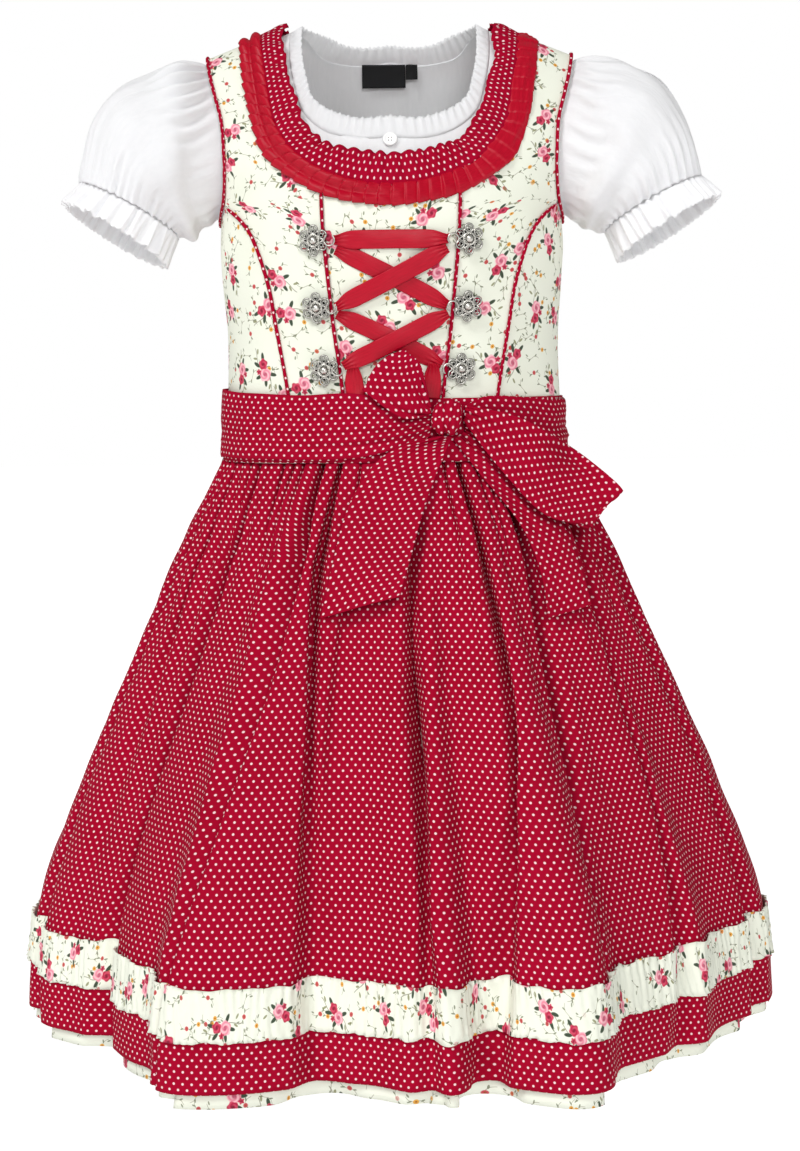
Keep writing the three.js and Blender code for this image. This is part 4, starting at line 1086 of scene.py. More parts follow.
def lay_piping(kind, name, path, steps, ring):
    def shape(across, up):
        points, off = path(up[:, 0])
        along = np.gradient(points, axis=0)
        if ring:
            along = np.roll(points[:-1], -1, 0) - np.roll(points[:-1], 1, 0)
            along = np.concatenate([along, along[:1]])
        sideways = unit(np.cross(along, off))
        fine = 1 + 0.1 * swell(up * steps * 2.2, 0 * up, 7, 9)
        shrink = np.ones_like(up) if ring else clamp(60 * np.minimum(up, 1 - up)) ** 0.5
        turn = 2 * np.pi * across
        outwards = 1 + 1.1 * np.sin(turn) * shrink * fine
        aside = 1.25 * np.cos(turn) * shrink * fine
        place = points[:, None] + off[:, None] * outwards[..., None] - sideways[:, None] * aside[..., None]
        length = np.broadcast_to(path_length(points)[:, None], across.shape)
        return place, spots(across * PIPING_ROUND, length)
    piece = lay_cloth(f"{kind}_piping_{name}", 12, steps, shape, 0, True, dotted_cotton)
    stands_for(piece, f"piping_{kind}_{name}")

def seam_path(seam, side, top):
    def path(up):
        level = blend(-240, top, up)
        return front_spot(side * seam_at(seam, level), level)
    return path

def armhole_path(side):
    def path(up):
        k = up * 16
        front = k <= 8
        row = curve_through(ARMHOLE.T, np.where(front, k, 16 - k))
        level = blend(row[..., 0], row[..., 2], 0.45)
        angle = blend(row[..., 1], row[..., 3], 0.45)
        return torso_spot(side * np.where(front, angle, 180 - angle), level)
    return path

for side, name in SIDES:
    lay_piping("lacing", name, seam_path(LACING_SEAM, side, -97), 90, False)
    lay_piping("princess", name, seam_path(PRINCESS_SEAM, side, -103), 90, False)
    lay_piping("armhole", name, armhole_path(side), 220, True)

# %% [markdown]
# ## Red satin
# Satin shines along its threads. Its threads run along the ribbon, so long thin streaks in the
# bump and in the roughness break the highlight up lengthwise. The same streaks make the base colour
# lighter: a painted sheen.

# %% Red satin
def make_satin():
    satin = Finish("red satin", Roughness=0.36, Specular_IOR_Level=0.22)
    across, along = satin.cloth()
    sheen_streaks = satin.noise(satin.spot_at(across * 1.6, along * 0.09), 1, 3)
    fine = satin.noise(satin.spot_at(across * 6, along * 0.3), 1, 2)
    # painted sheen: the base colour is lighter along the streaks
    colour = satin.paint(sheen_streaks, shade(150, 1, 26), shade(192, 3, 40))
    satin.show("Base Color", colour)
    satin.show("Roughness", sheen_streaks * 0.25 + 0.26)
    satin.bump(sheen_streaks + fine * 0.5, 0.35, 0.0003)
    return satin

red_satin = make_satin()

# %% [markdown]
# ## The two neck ruffles
# Both are sewn to the neck edge. The inner one is dotted cotton, gathered into the seam and free
# at its edge, so it stands in folds that widen as they go. The outer one is a satin ribbon,
# folded into narrow knife pleats and stitched down along its middle, so it has two padded lobes.
# A pleat is a slow rise and a quick drop, many times over.

# %% Lines round the neck
def neck_band(front, back, edge, count):
    """Seam points, edge points, directions off them and the length along, round the neck."""
    def quarter(columns, place):
        k = np.linspace(0, 1, 60) ** 1.4 * (columns.shape[1] - 1)
        row = curve_through(columns.T, k)
        seam = place(np.maximum(0, row[:, 0]), np.minimum(0, row[:, 1]))
        rim = place(np.maximum(0, row[:, edge]), np.minimum(0, row[:, edge + 1]))
        return np.stack([seam[0], rim[0], seam[1] + rim[1]], 1)
    mirror = np.array([-1, 1, 1])
    ahead = quarter(front, front_spot)
    behind = quarter(back, back_spot)
    quarters = ahead, (ahead * mirror)[-2::-1], (behind * mirror)[1:], behind[-2:0:-1]
    round_it = np.concatenate(quarters)
    for _ in range(6):
        round_it = (np.roll(round_it, 1, 0) + 2 * round_it + np.roll(round_it, -1, 0)) / 4
    closed = np.concatenate([round_it, round_it[:1]])
    middle = (closed[:, 0] + closed[:, 1]) / 2
    length = path_length(middle)
    at = np.linspace(0, length[-1], count)
    even = np.stack([[np.interp(at, length, closed[:, i, c]) for c in range(3)] for i in range(3)])
    seam, rim, off = np.moveaxis(even, 1, 2)
    return seam, rim, unit(off), at

def neck_sheet(name, band, rows, lift_of, out_of, flat_of, finish, turn, wall):
    seam, rim, off, length = band
    columns = len(length) - 1
    def shape(across, up):
        j = np.rint((1 - across if turn else across) * columns).astype(int)
        s = length[j]
        side = (seam[j, 0] + rim[j, 0]) / 2
        out = out_of(s, up, side)
        lift = lift_of(s, up, side)
        points = seam[j] + (rim - seam)[j] * out[..., None] + off[j] * lift[..., None]
        return points, flat_of(s, up)
    return lay_cloth(name, columns, rows, shape, wall, True, finish)

# %% Satin ruffle
PLEAT = 9.2
STITCH = 0.55  # where the line of stitches lies between seam and edge

def pleated_left(side):
    """1 where the pleats are crisp, left of the middle, and 0 to its right."""
    return clamp((8 - side) / 30)

def calm_right(side):
    """How much of the pleats is pressed flat on the right."""
    return clamp((side - 34) / 26) * 0.75

def make_satin_ruffle():
    band = neck_band(NECK_FRONT, NECK_BACK, 2, 1001)
    total = band[3][-1]
    pleats = round(total / PLEAT)
    def pleat(s, up, side):
        slant = np.where(up < STITCH, (STITCH - up) * 1.1, (up - STITCH) * 0.1) * pleated_left(side)
        wander = 0.22 * swell(s, 0 * s, 70, 60)
        place = s / total * pleats + slant + wander
        t = place - np.floor(place)
        return np.where(t < 0.9, t / 0.9, (1 - t) / 0.1) - 0.5 * hill(t - 0.97, 0.05)
    def lift_of(s, up, side):
        calm = calm_right(side)
        inner = np.sin(np.pi * clamp(up / STITCH)) ** 0.6
        outer = np.abs(np.sin(np.pi * clamp((up - STITCH) / 0.5))) ** 0.6
        two = np.where(up < STITCH, inner, outer)
        one = np.sin(np.pi * clamp(up * 0.96)) ** 0.5
        body = blend(one, two, pleated_left(side))
        fold = (0.7 + 2.5 * body) * (1 - calm) * pleat(s, up, side)
        streak = calm * 0.5 * swell(s * 0.12, up * 16, 72, 4)
        return 0.8 + 1.5 * body + fold + streak + 0.3 * swell(s, up * 14, 71, 12)
    def out_of(s, up, side):
        teeth = (1 - calm_right(side)) * clamp(up - 0.75) * 4 * (pleat(s, up, side) - 0.5)
        return blend(-0.06, 1.02, up) + 0.09 * teeth + 0.02 * swell(s, 0 * s, 73, 40) * up
    def flat_of(s, up):
        return spots(up * 16, s * 2.2)
    piece = neck_sheet("satin_ruffle", band, 16, lift_of, out_of, flat_of, red_satin, False, 0.5)
    stands_for(piece, "neck_ruffle_satin", (total * 1.3 * MM, 0.018), "plastron")

make_satin_ruffle()

# %% Dotted ruffle
def make_dotted_ruffle():
    band = neck_band(NECK_FRONT, NECK_BACK, 4, 721)
    total = band[3][-1]
    dice = np.random.default_rng(8)
    steps = [0.0]
    while steps[-1] < total:
        where = np.interp(steps[-1], band[3], band[0][:, 0])
        steps.append(steps[-1] + (dice.uniform(6, 9) if where > 25 else dice.uniform(9, 15)))
    steps = np.array(steps) * total / steps[-1]
    heights = dice.uniform(0.25, 1.2, len(steps))
    heights[-1] = heights[0]
    def fold(s):
        k = np.clip(np.searchsorted(steps, s, side="right"), 1, len(steps) - 1)
        t = (s - steps[k - 1]) / (steps[k] - steps[k - 1])
        tall = blend(heights[k - 1], heights[k], t)
        return tall * np.abs(np.sin(np.pi * t)) ** 0.9
    def lift_of(s, up, side):
        calm = 1 - 0.35 * clamp((side - 25) / 40)
        roll = np.sin(np.pi * clamp(up * 1.02)) * 1.2
        drift = 4 * up * swell(s, 0 * s, 81, 70)
        folded = (0.5 + 3.6 * up) * calm * fold((s + drift) % total)
        return 0.9 + roll + folded + 0.4 * swell(s, up * 15, 82, 10)
    def out_of(s, up, side):
        calm = 1 - 0.4 * clamp((side - 25) / 40)
        scallops = 0.13 * calm * (fold(s % total) - 0.4) + 0.08 * swell(s, 0 * s, 83, 26)
        return blend(-0.1, 0.95, up) + up ** 3 * scallops
    def flat_of(s, up):
        return spots(s * 1.45, up * 18)
    piece = neck_sheet("dotted_ruffle", band, 12, lift_of, out_of, flat_of, dotted_cotton, True, 0.5)
    stands_for(piece, "neck_ruffle_dotted", (total * 1.45 * MM, 0.02), "plastron")

make_dotted_ruffle()

# %% [markdown]
# ## White cotton and the blouse
# The blouse is fine white cotton. White cloth shows only through its shadows, so its finish is
# a quiet one: a hardly visible crinkle in the bump. Its front and back lie just inside the
# bodice. A small frill with tiny scallops finishes the neck.

# %% White cotton
def make_white():
    cotton = Finish(
        "white cotton", Roughness=0.85, Specular_IOR_Level=0.2,
        Subsurface_Weight=0.6, Subsurface_Scale=0.004, Subsurface_Radius=(1, 1, 1),
    )
    across, along = cotton.cloth()
    place = cotton.spot_at(across, along)
    crinkle = cotton.noise(cotton.spot_at(across * 0.35, along * 0.09), 1, 4)
    fine = cotton.noise(place, 1.5, 2)
    # painted shade: the colour is a little darker in the crinkle's hollows and lighter on its ridges
    cotton.show("Base Color", cotton.paint(crinkle, shade(237, 238, 241), shade(246, 246, 248)))
    cotton.bump(crinkle * 2 + fine * 0.4, 0.35, 0.0006)
    return cotton

white_cotton = make_white()

# %% Blouse body and neck frill
BLOUSE_LIFT, FRILL_LIFT = -4.4, -4.25  # both lie inside the bodice

BLOUSE_FRONT = table("""
    70   0     62 0
    69   -20   61 -20
    64.5 -39   57 -36
    59   -52   53 -46
    44   -63.5 40 -55
    22   -70   20 -61.5
    0    -70.5 0  -62
""")
BLOUSE_BACK = table("""
    70 0     62 0
    50 -17   44 -9
    37 -23   33 -15
    20 -27.5 18 -19.5
    0  -29.5 0  -22
""")

def blouse_place(neck, front):
    right = yoke_place(neck, -135, 1, front)
    def place(across, up):
        away = np.abs(2 * across - 1)
        angle, level = right(away if front else 1 - away, up)
        halves = (-angle, angle) if front else (angle, 360 - angle)
        return np.where(across < 0.5, *halves), level
    return place

def make_blouse_body():
    for name, neck, front in (("front", BLOUSE_FRONT, True), ("back", BLOUSE_BACK, False)):
        place = blouse_place(neck, front)
        piece = laid_flat(f"blouse_{name}_cloth", (100, 36), place, white_cotton, 90, BLOUSE_LIFT, 0.6, 0.8)
        stands_for(piece, f"blouse_{name}", (0.3, 0.15), area=0.031 if front else 0.036)

make_blouse_body()

def make_neck_frill():
    band = neck_band(BLOUSE_FRONT, BLOUSE_BACK, 2, 841)
    total = band[3][-1]
    def lift_of(s, up, side):
        gather = np.sin(2 * np.pi * s / total * round(total / 6.5) + 2 * swell(s, 0 * s, 95, 40))
        return FRILL_LIFT + up * (0.8 + 0.7 * gather) + 0.2 * np.sin(np.pi * clamp(up * 3))
    def out_of(s, up, side):
        tiny = np.abs(np.sin(np.pi * s / total * round(total / 3.4)))
        return blend(-0.16, 0.93, up) + 0.09 * clamp(up - 0.75) * 4 * tiny
    def flat_of(s, up):
        return spots(s, up * 9)
    piece = neck_sheet("neck_frill", band, 8, lift_of, out_of, flat_of, white_cotton, True, 0.4)
    size = total * 1.15 * MM, 0.0105
    stands_for(piece, "blouse_neck_frill", size, "blouse_front_cloth")

make_neck_frill()

# %% [markdown]
# ## Puff sleeves
# A puff sleeve is much wider than the armhole and the cuff, so it is gathered at both. Its form
# runs smoothly through rings: inside the armhole, over its edge, out to the full puff and down to
# the elastic. The gathers are ripples round the arm that are strong at both ends and fade
# towards the middle. Below the elastic the cloth springs out again in a scalloped frill.

# %% Sleeve rings
# highest and lowest point in the front view, half depth, set back, drop of the back edge
SLEEVE = table("""
    146   0.5 129 -113 46 0  0
    168   -5  135 -117 51 -2 3
    190   -18 140 -120 51 -4 6
    209   -45 146 -121 46 -6 9
    218.5 -84 151 -120 34 -9 11
""").T
CUFF_FRILL = table("""
    219   -84.8 151.4 -120.9 34.4 -9.1 11
    230.5 -99   160   -141   40   -12  14
""").T
STATIONS = 16  # places round a ring
SLEEVE_ROUND = 330  # mm of cloth round the sleeve

def sleeve_ring(row):
    top_x, top_z, foot_x, foot_z, depth, y, drop = row
    turn = 2 * np.pi * np.arange(STATIONS) / STATIONS
    to_top = (1 + np.cos(turn)) / 2
    x = blend(foot_x, top_x, to_top)
    z = blend(foot_z, top_z, to_top) + drop / 2 * np.sin(turn)
    return spots(x, y - depth * np.sin(turn), z)

def armhole_rings():
    k = np.arange(STATIONS)
    points, off = armhole_spots(k)
    edge = unit(np.cross(np.roll(points, -1, 0) - np.roll(points, 1, 0), off))
    towards = np.array([187, 0, -57]) - points
    edge = edge * np.where((edge * towards).sum(1) < 0, -1, 1)[:, None]
    down = np.minimum(k, STATIONS - k) / (STATIONS / 2)
    start = points - off * 5 + edge * 1
    turn = points + off * blend(-1.5, 2.8, down)[:, None] + edge * 3.4
    return start, turn

def armhole_spots(k):
    front = k <= 8
    row = ARMHOLE.T[np.where(front, k, STATIONS - k)]
    return torso_spot(np.where(front, row[:, 1], 180 - row[:, 1]), row[:, 0])

def square_to(points):
    """Directions square to a grid of points that closes round its columns."""
    around = np.roll(points[:, :-1], -1, 1) - np.roll(points[:, :-1], 1, 1)
    around = np.concatenate([around, around[:, :1]], 1)
    along = np.gradient(points, axis=0)
    return unit(np.cross(around, along))

def ripple(turn, seed, waves):
    """An uneven wave that closes round a ring."""
    dice = np.random.default_rng(seed)
    total = 0
    for _ in range(5):
        count = round(dice.uniform(0.75, 1.3) * waves)
        total = total + np.sin(2 * np.pi * count * turn + dice.uniform(0, 7))
    return total / 2.2

def make_sleeve(side, name):
    rings = np.stack([*armhole_rings(), *[sleeve_ring(row) for row in SLEEVE]])
    seed = 100 if side < 0 else 200
    def shape(across, up):
        turn = across if side > 0 else 1 - across
        along = curve_through(rings, (up[:, 0] ** 0.8) * 6)
        points = np.moveaxis(curve_through(np.moveaxis(along, 1, 0), turn[0] * STATIONS, True), 0, 1)
        off = square_to(points) * side
        high = 0.35 + 0.65 * clamp(np.cos(2 * np.pi * turn) * 1.3 + 0.3)
        cap = hill(up - 0.26, 0.13) * high
        cuff = clamp((up - 0.62) / 0.38) ** 1.6 * (1 - 0.35 * clamp((up - 0.97) / 0.03))
        wander = turn + 0.008 * swell(up * 80, turn * 60, seed + 5, 40)
        lift = 1.9 * cap * ripple(wander, seed + 1, 24) + 1.7 * cuff * ripple(wander, seed + 2, 34)
        lift = lift + 2.6 * cuff * ripple(wander, seed + 3, 9) * (1 - up)
        soft = clamp(up * 6 - 1.2) * (1 - up ** 4)
        lift = lift + 2.4 * soft * swell(turn * 260, up * 120, seed + 4, 55)
        lift = lift + 1.1 * soft * swell(turn * 420, up * 50, seed + 6, 34)
        points = (points + off * lift[..., None]) * np.array([side, 1, 1])
        return points, spots(turn * SLEEVE_ROUND, up * 130)
    piece = lay_cloth(f"sleeve_{name}", 220, 60, shape, 0.6, True, white_cotton)
    sewn_to = f"armhole_piping_{name}"
    stands_for(piece, f"blouse_sleeve_{name}", (0.42, 0.15), sewn_to, 0.04)

def make_cuff_frill(side, name):
    rings = np.stack([sleeve_ring(row) for row in CUFF_FRILL])
    seed = 130 if side < 0 else 230
    def shape(across, up):
        turn = across if side > 0 else 1 - across
        out = blend(0, 0.96, up)
        out = out + 0.06 * clamp(up - 0.8) * 5 * np.abs(np.sin(np.pi * turn * 66))
        along = curve_through(np.moveaxis(rings, 1, 0), turn[0] * STATIONS, True)
        points = along[None, :, 0] + (along[:, 1] - along[:, 0])[None] * out[..., None]
        off = square_to(points) * side
        gather = ripple(turn, seed + 1, 21)
        fine = ripple(turn, seed + 2, 40)
        lift = up ** 0.8 * (2.4 * gather + 0.9 * fine) + 0.8 * (1 - up) * fine
        points = (points + off * lift[..., None]) * np.array([side, 1, 1])
        return points, spots(turn * SLEEVE_ROUND, up * 26)
    piece = lay_cloth(f"cuff_frill_{name}", 320, 12, shape, 0.5, True, white_cotton)
    sewn_to = f"sleeve_{name}"
    stands_for(piece, f"sleeve_frill_{name}", (0.4, 0.026), sewn_to, 0.0085)

for side, name in SIDES:
    make_sleeve(side, name)
    make_cuff_frill(side, name)

# %% [markdown]
# ## Waistband, sashes and bow
# The sashes lie over the waistband, cross at the back and end in a bow right of the centre. A tied
# band is pulled together at the knot, so its creases run along it and meet there. A crease is a
# narrow ridge or dip with a beginning and an end. Each band gets its own handful of them, longer
# and shorter, deeper and shallower. A ribbon of the bow is a sheet between two edge lines, and
# it is held off whatever lies behind it.

# %% Creases
def crease_lines(along, across, seed, count, reach, height):
    """Ridges and dips that start at the knot and run along a band; both shares are 0 to 1."""
    dice = np.random.default_rng(seed)
    total = 0
    for _ in range(count):
        start, end = dice.uniform(0.04, 0.96, 2)
        sway = dice.uniform(0.005, 0.02) * np.sin(9 * along + start * 20)
        middle = blend(start, blend(start, end, 0.35), along) + sway
        width = dice.uniform(0.02, 0.06)
        length = reach * dice.uniform(0.35, 1.3)
        fading = clamp(1 - along / length) ** 0.7
        size = dice.choice([-1.1, 1]) * dice.uniform(0.45, 1)
        total = total + size * fading * hill(across - middle, width)
    return height * total

# %% Waistband and sashes
SASH_LEFT = table("""
    -251.7 -236 -278 0.6
    -228   -236 -276 0.6
    -192   -236 -256 0.6
    -168   -234 -255 3
    -132   -231 -277 3
    -90    -229 -277 3
    -30    -233 -278 3
    -12    -232 -277 3
    0      -235 -271 3
    10.5   -241 -262 3.2
""")
SASH_RIGHT = table("""
    21.5  -241   -262 3.2
    30    -235   -273 3
    60    -238   -277 3
    90    -238   -277 3
    132   -235   -278 3
    168   -257.5 -278 3
    192   -257.5 -278 0.6
    228   -238   -278 0.6
    251.7 -236   -278 0.6
""")

def make_waistband():
    def shape(across, up):
        angle = blend(-108, 108, across)
        points, off = torso_spot(angle, blend(-279.5, -236, up))
        lift = 2 + 0.5 * swell(angle * 2, up * 44, 301, 20)
        return points + off * lift[..., None], flat_places(points)
    piece = lay_cloth("waistband_cloth", 180, 10, shape, 0.8, finish=dotted_cotton)
    stands_for(piece, "apron_waistband", (0.4, 0.0435), "bodice_back_left")

def make_sash(node, rows, seed, knot_first):
    def shape(across, up):
        angle = blend(rows[0][0], rows[0][-1], across)
        top, foot, lift = [smooth(rows[0], column, angle) for column in rows[1:]]
        z = blend(foot, top, up) + 0.5 * swell(angle * 2, 0 * up, seed + 7, 50)
        points, off = torso_spot(angle, z)
        from_knot = across if knot_first else 1 - across
        creased = crease_lines(from_knot, up, seed, 11, 0.3, 2.4)
        creased = creased + crease_lines(from_knot, up, seed + 1, 5, 0.75, 1)
        creased = creased + 0.5 * swell(angle * 2, up * 40, seed + 3, 30)
        rim = clamp(np.minimum(up, 1 - up) * 22)
        lift = lift + 1.3 + np.maximum(creased, -0.9) * (0.4 + 0.6 * rim) - 0.3 * (1 - rim)
        return points + off * lift[..., None], flat_places(points)
    piece = lay_cloth(node + "_cloth", 340, 24, shape, 1, finish=dotted_cotton)
    stands_for(piece, node, (0.46, 0.042), "waistband_cloth")

make_waistband()
make_sash("sash_left", SASH_LEFT, 311, False)
make_sash("sash_right", SASH_RIGHT, 321, True)

# %% Ribbons of the bow
# for each row, both edges: distance from the centre, height, and how far off what lies behind
LOOP_LEFT = table("""
    24 -240 9   25  -247 9
    19 -214 15  6   -249 12
    10 -205 14  -17 -233 11
    9  -204 9   -18 -231 7.5
    18 -215 6   5   -247 5.8
    23 -240 5.6 24  -246 5.6
""").T
LOOP_RIGHT = table("""
    49  -242 10  48  -252 10
    84  -249 24  72  -284 20
    120 -269 46  102 -315 24
    153 -296 60  132 -324 34
    151 -298 54  130 -326 28
    116 -270 36  99  -312 16
    82  -251 17  71  -279 14
    49  -243 5.8 48  -251 5.8
""").T
TAIL_LEFT = table("""
    40 -262.2 9 31  -262.2 9
    36 -271   7 3   -269   7
    29 -287   7 -16 -283   6
    20 -310   7 -31 -308   6
    11 -339   7 -41 -342   6
    3  -366   8 -50 -379   7
""").T
TAIL_RIGHT = table("""
    48  -259 6  41  -264 6
    78  -281 7  58  -287 7
    112 -318 12 86  -322 8
    126 -350 12 99  -356 7
    133 -378 12 103 -384 7
""").T

def depth_behind(x, z):
    """How far forward the surface behind the bow is, place by place."""
    sides = np.linspace(-85, 85, 341)
    def one(x, z):
        if z >= WAIST:
            return front_spot(x, z)[0][1]
        row = skirt_point(sides, z)
        away = np.abs(row[:, 0] - x)
        return row[away <= max(2.5, away.min()), 1].min()
    return np.vectorize(one)(x, z)

def ribbon_grid(rows, steps, widths, puff):
    edges = curve_through(rows, np.linspace(0, len(rows) - 1, steps))[:, None]
    share = np.linspace(0, 1, widths)
    x = blend(edges[..., 0], edges[..., 3], share)
    z = blend(edges[..., 1], edges[..., 4], share)
    lift = blend(edges[..., 2], edges[..., 5], share)
    from_tip = np.linspace(-1, 1, steps)[:, None]
    full = puff * np.sin(np.pi * share) * hill(from_tip, 0.22)
    x, z = x - full, z + full
    free = depth_behind(x, z) - lift
    straight = blend(free[:, :1], free[:, -1:], share)
    grid = spots(x, np.minimum(straight, free), z)
    for _ in range(2):
        grid[1:-1, :, 1] = (grid[:-2, :, 1] + 2 * grid[1:-1, :, 1] + grid[2:, :, 1]) / 4
    return grid

PATH_STEPS, PATH_WIDTHS = 40, 8  # cells of the rough grid that a ribbon is drawn through
HEM_WIDTH = 4

def make_ribbon(node, rows, seed, both_ends, width, puff=0, steps=120):
    grid = ribbon_grid(rows, PATH_STEPS + 1, PATH_WIDTHS + 1, puff)
    def shape(across, up):
        along = curve_through(grid, up[:, 0] * PATH_STEPS)
        points = np.moveaxis(curve_through(np.moveaxis(along, 1, 0), across[0] * PATH_WIDTHS), 0, 1)
        off = unit(np.cross(np.gradient(points, axis=1), np.gradient(points, axis=0)))
        off = off * np.where(off[:1, :, 1:2].mean() > 0, -1, 1)
        near = crease_lines(up, across, seed, 9, 0.5, 2)
        near = near + crease_lines(up, across, seed + 1, 4, 1.3, 0.9)
        if both_ends:
            near = near * clamp(1.25 - up * 1.6)
            near = near + crease_lines(1 - up, across, seed + 2, 8, 0.4, 1.3)
        border = np.minimum(across, 1 - across) * width
        if not both_ends:
            border = np.minimum(border, (1 - up) * 95)
        hem = -0.45 * hill(border - HEM_WIDTH, 0.7) + 0.15 * clamp(1 - border / HEM_WIDTH)
        slow = 1.3 * swell(across * width, up * 100, seed + 3, 42) * clamp(up * 4)
        slow = slow * (clamp((1 - up) * 4) if both_ends else 1)
        return points + off * (near + hem + slow)[..., None], flat_places(points)
    piece = lay_cloth(node + "_cloth", 30, steps, shape, 0.9, finish=dotted_cotton)
    size = width * MM * 0.9, float(path_length(grid[:, PATH_WIDTHS // 2])[-1]) * MM
    stands_for(piece, node, size, "bow_knot_cloth")

KNOT_X, KNOT_Z, KNOT_LIFT = 36, -249, 9.6
# place along the knot, depth and slant of each dent
DENTS = (-0.55, 0.13, 0.1), (-0.12, 0.2, -0.12), (0.34, 0.15, 0.15), (0.7, 0.1, -0.05)

def make_knot():
    def shape(across, up):
        turn = 2 * np.pi * across
        place = 2 * up - 1
        full = np.maximum(0, 1 - np.abs(place) ** 3) ** 0.42
        dents = 0
        for at, deep, slant in DENTS:
            dents = dents + deep * hill(place - at - slant * np.sin(turn), 0.085)
        round_it = full * (1 - dents + 0.03 * swell(place * 12, np.sin(turn) * 12, 331, 9))
        height = 12.4 * round_it * np.sin(turn) * (1 + 0.1 * place)
        outward = 6.4 * round_it * np.cos(turn)
        x = KNOT_X + 10.4 * place + 1.2 * np.sin(turn) * full
        y = front_spot(KNOT_X, KNOT_Z)[0][1] - KNOT_LIFT - outward
        return spots(x, y, KNOT_Z + height), spots(place * 12, turn * 8)
    piece = lay_cloth("bow_knot_cloth", 60, 50, shape, 0, True, dotted_cotton)
    stands_for(piece, "bow_knot")

make_knot()
make_ribbon("bow_loop_left", LOOP_LEFT, 341, True, 34, puff=3)
make_ribbon("bow_loop_right", LOOP_RIGHT, 351, True, 42, steps=170)
make_ribbon("bow_tail_left", TAIL_LEFT, 361, False, 47)
make_ribbon("bow_tail_right", TAIL_RIGHT, 371, False, 36)

# %% [markdown]
# ## The satin lace
# The lace is a narrow satin ribbon that runs from hook to hook. Where it goes through a wire eye
# it is squeezed together, so it narrows there and its creases run lengthwise.

# %% Lace
LACE_HALF = 6.2
UNDER, MIDDLE, OVER = 1.6, 2.9, 4.2

def make_lace(node, start, end, layer, seed, free_end=False):
    start, end = np.array(start, float), np.array(end, float)
    run = end - start
    length = float(np.hypot(*run))
    side = np.array([-run[1], run[0]]) / length
    def shape(across, up):
        from_end = np.minimum(across, 1 if free_end else 1 - across) * length
        pinch = hill(from_end, 7)
        width = (2 * up - 1) * LACE_HALF * (1 - 0.5 * pinch)
        bow = 0.7 * np.sin(np.pi * across) * np.sin(seed)
        x = start[0] + run[0] * across + side[0] * (width + bow)
        z = start[1] + run[1] * across + side[1] * (width + bow)
        points, off = front_spot(x, z)
        cup = 0.5 * (2 * up - 1) ** 2 * (1 - pinch)
        ridge = 0.7 * pinch * np.cos(7.5 * np.pi * up + seed)
        gentle = 0.45 * swell(across * length, up * 12, seed, 24)
        lift = layer + 0.1 - cup + ridge + gentle + 0.9 * pinch
        return points + off * lift[..., None], spots(up * 2 * LACE_HALF + 4, across * length)
    piece = lay_cloth(node + "_ribbon", round(length * 1.3), 20, shape, 0.5, finish=red_satin)
    stands_for(piece, node, (2 * LACE_HALF * MM, length * MM), "plastron")

make_lace("lace_upper_under", (-37, -135), (37, -173), UNDER, 1)
make_lace("lace_lower_under", (-37, -178), (33, -213), UNDER, 2)
make_lace("lace_top", (-38, -129), (38, -129), MIDDLE, 3)
make_lace("lace_upper_over", (-37, -173), (37, -135), OVER, 4)
make_lace("lace_lower_over", (-33, -213), (37, -178), OVER, 5)
make_lace("lace_tail_left", (-27, -212), (-25, -236), MIDDLE, 6, True)
make_lace("lace_tail_right", (27, -212), (25, -236), MIDDLE, 7, True)

# %% [markdown]
# ## The ornamental hooks
# Each hook is a small cast rosette: six petals of open rings with a ball in each, a beaded ring,
# a domed heart, and a wire eye that carries the lace. One rosette is put together from simple
# solids, lying flat, and then copied to its six places. The material needs to know where the
# recesses are, so every corner stores how high it lies, and low places get darker.

# %% One rosette
def join_pieces(pieces):
    """Joins pieces into the first of them."""
    bpy.ops.object.select_all(action="DESELECT")
    for piece in pieces:
        piece.select_set(True)
    bpy.context.view_layer.objects.active = pieces[0]
    bpy.ops.object.join()
    return bpy.context.object

def store_raised(piece, values):
    piece.data.attributes.new("raised", "FLOAT", "POINT").data.foreach_set("value", values)

def make_rosette():
    parts = []
    def done():
        bpy.ops.object.transform_apply(location=True, rotation=True, scale=True)
        bpy.ops.object.shade_smooth()
        parts.append(bpy.context.object)
    def ring(x, y, z, radius, wire, around=16):
        bpy.ops.mesh.primitive_torus_add(
            location=(x * MM, y * MM, z * MM), major_radius=radius * MM, minor_radius=wire * MM,
            major_segments=around, minor_segments=6,
        )
        done()
    def ball(x, y, z, radius, height):
        bpy.ops.mesh.primitive_uv_sphere_add(
            location=(x * MM, y * MM, z * MM), radius=radius * MM, segments=12, ring_count=6,
        )
        bpy.context.object.scale[2] = height / radius
        done()
    bpy.ops.mesh.primitive_cylinder_add(
        radius=6.8 * MM, depth=0.6 * MM, vertices=30, location=(0, 0, 0.3 * MM),
    )
    done()
    for k in range(6):
        turn = math.radians(60 * k + 30)
        x, y = math.cos(turn), math.sin(turn)
        ring(7.3 * x, 7.3 * y, 1.1, 2.85, 0.68, 18)
        ring(6.6 * x, 6.6 * y, 1.3, 1.3, 0.42, 12)
        ball(8.6 * x, 8.6 * y, 1.1, 0.75, 0.8)
        between = turn + math.radians(30)
        ball(6.9 * math.cos(between), 6.9 * math.sin(between), 1.5, 0.9, 0.9)
    ring(0, 0, 1.7, 4.15, 0.5, 28)
    for k in range(18):
        turn = math.radians(20 * k)
        ball(3.35 * math.cos(turn), 3.35 * math.sin(turn), 2.0, 0.52, 0.52)
    ball(0, 0, 1.7, 2.75, 2.3)
    ball(0, 0, 3.9, 0.7, 0.5)
    rosette = join_pieces(parts)
    heights = np.empty(3 * len(rosette.data.vertices))
    rosette.data.vertices.foreach_get("co", heights)
    heights = heights.reshape(-1, 3)[:, 2] / MM
    store_raised(rosette, clamp((heights - 1.15) / 0.8))
    return rosette

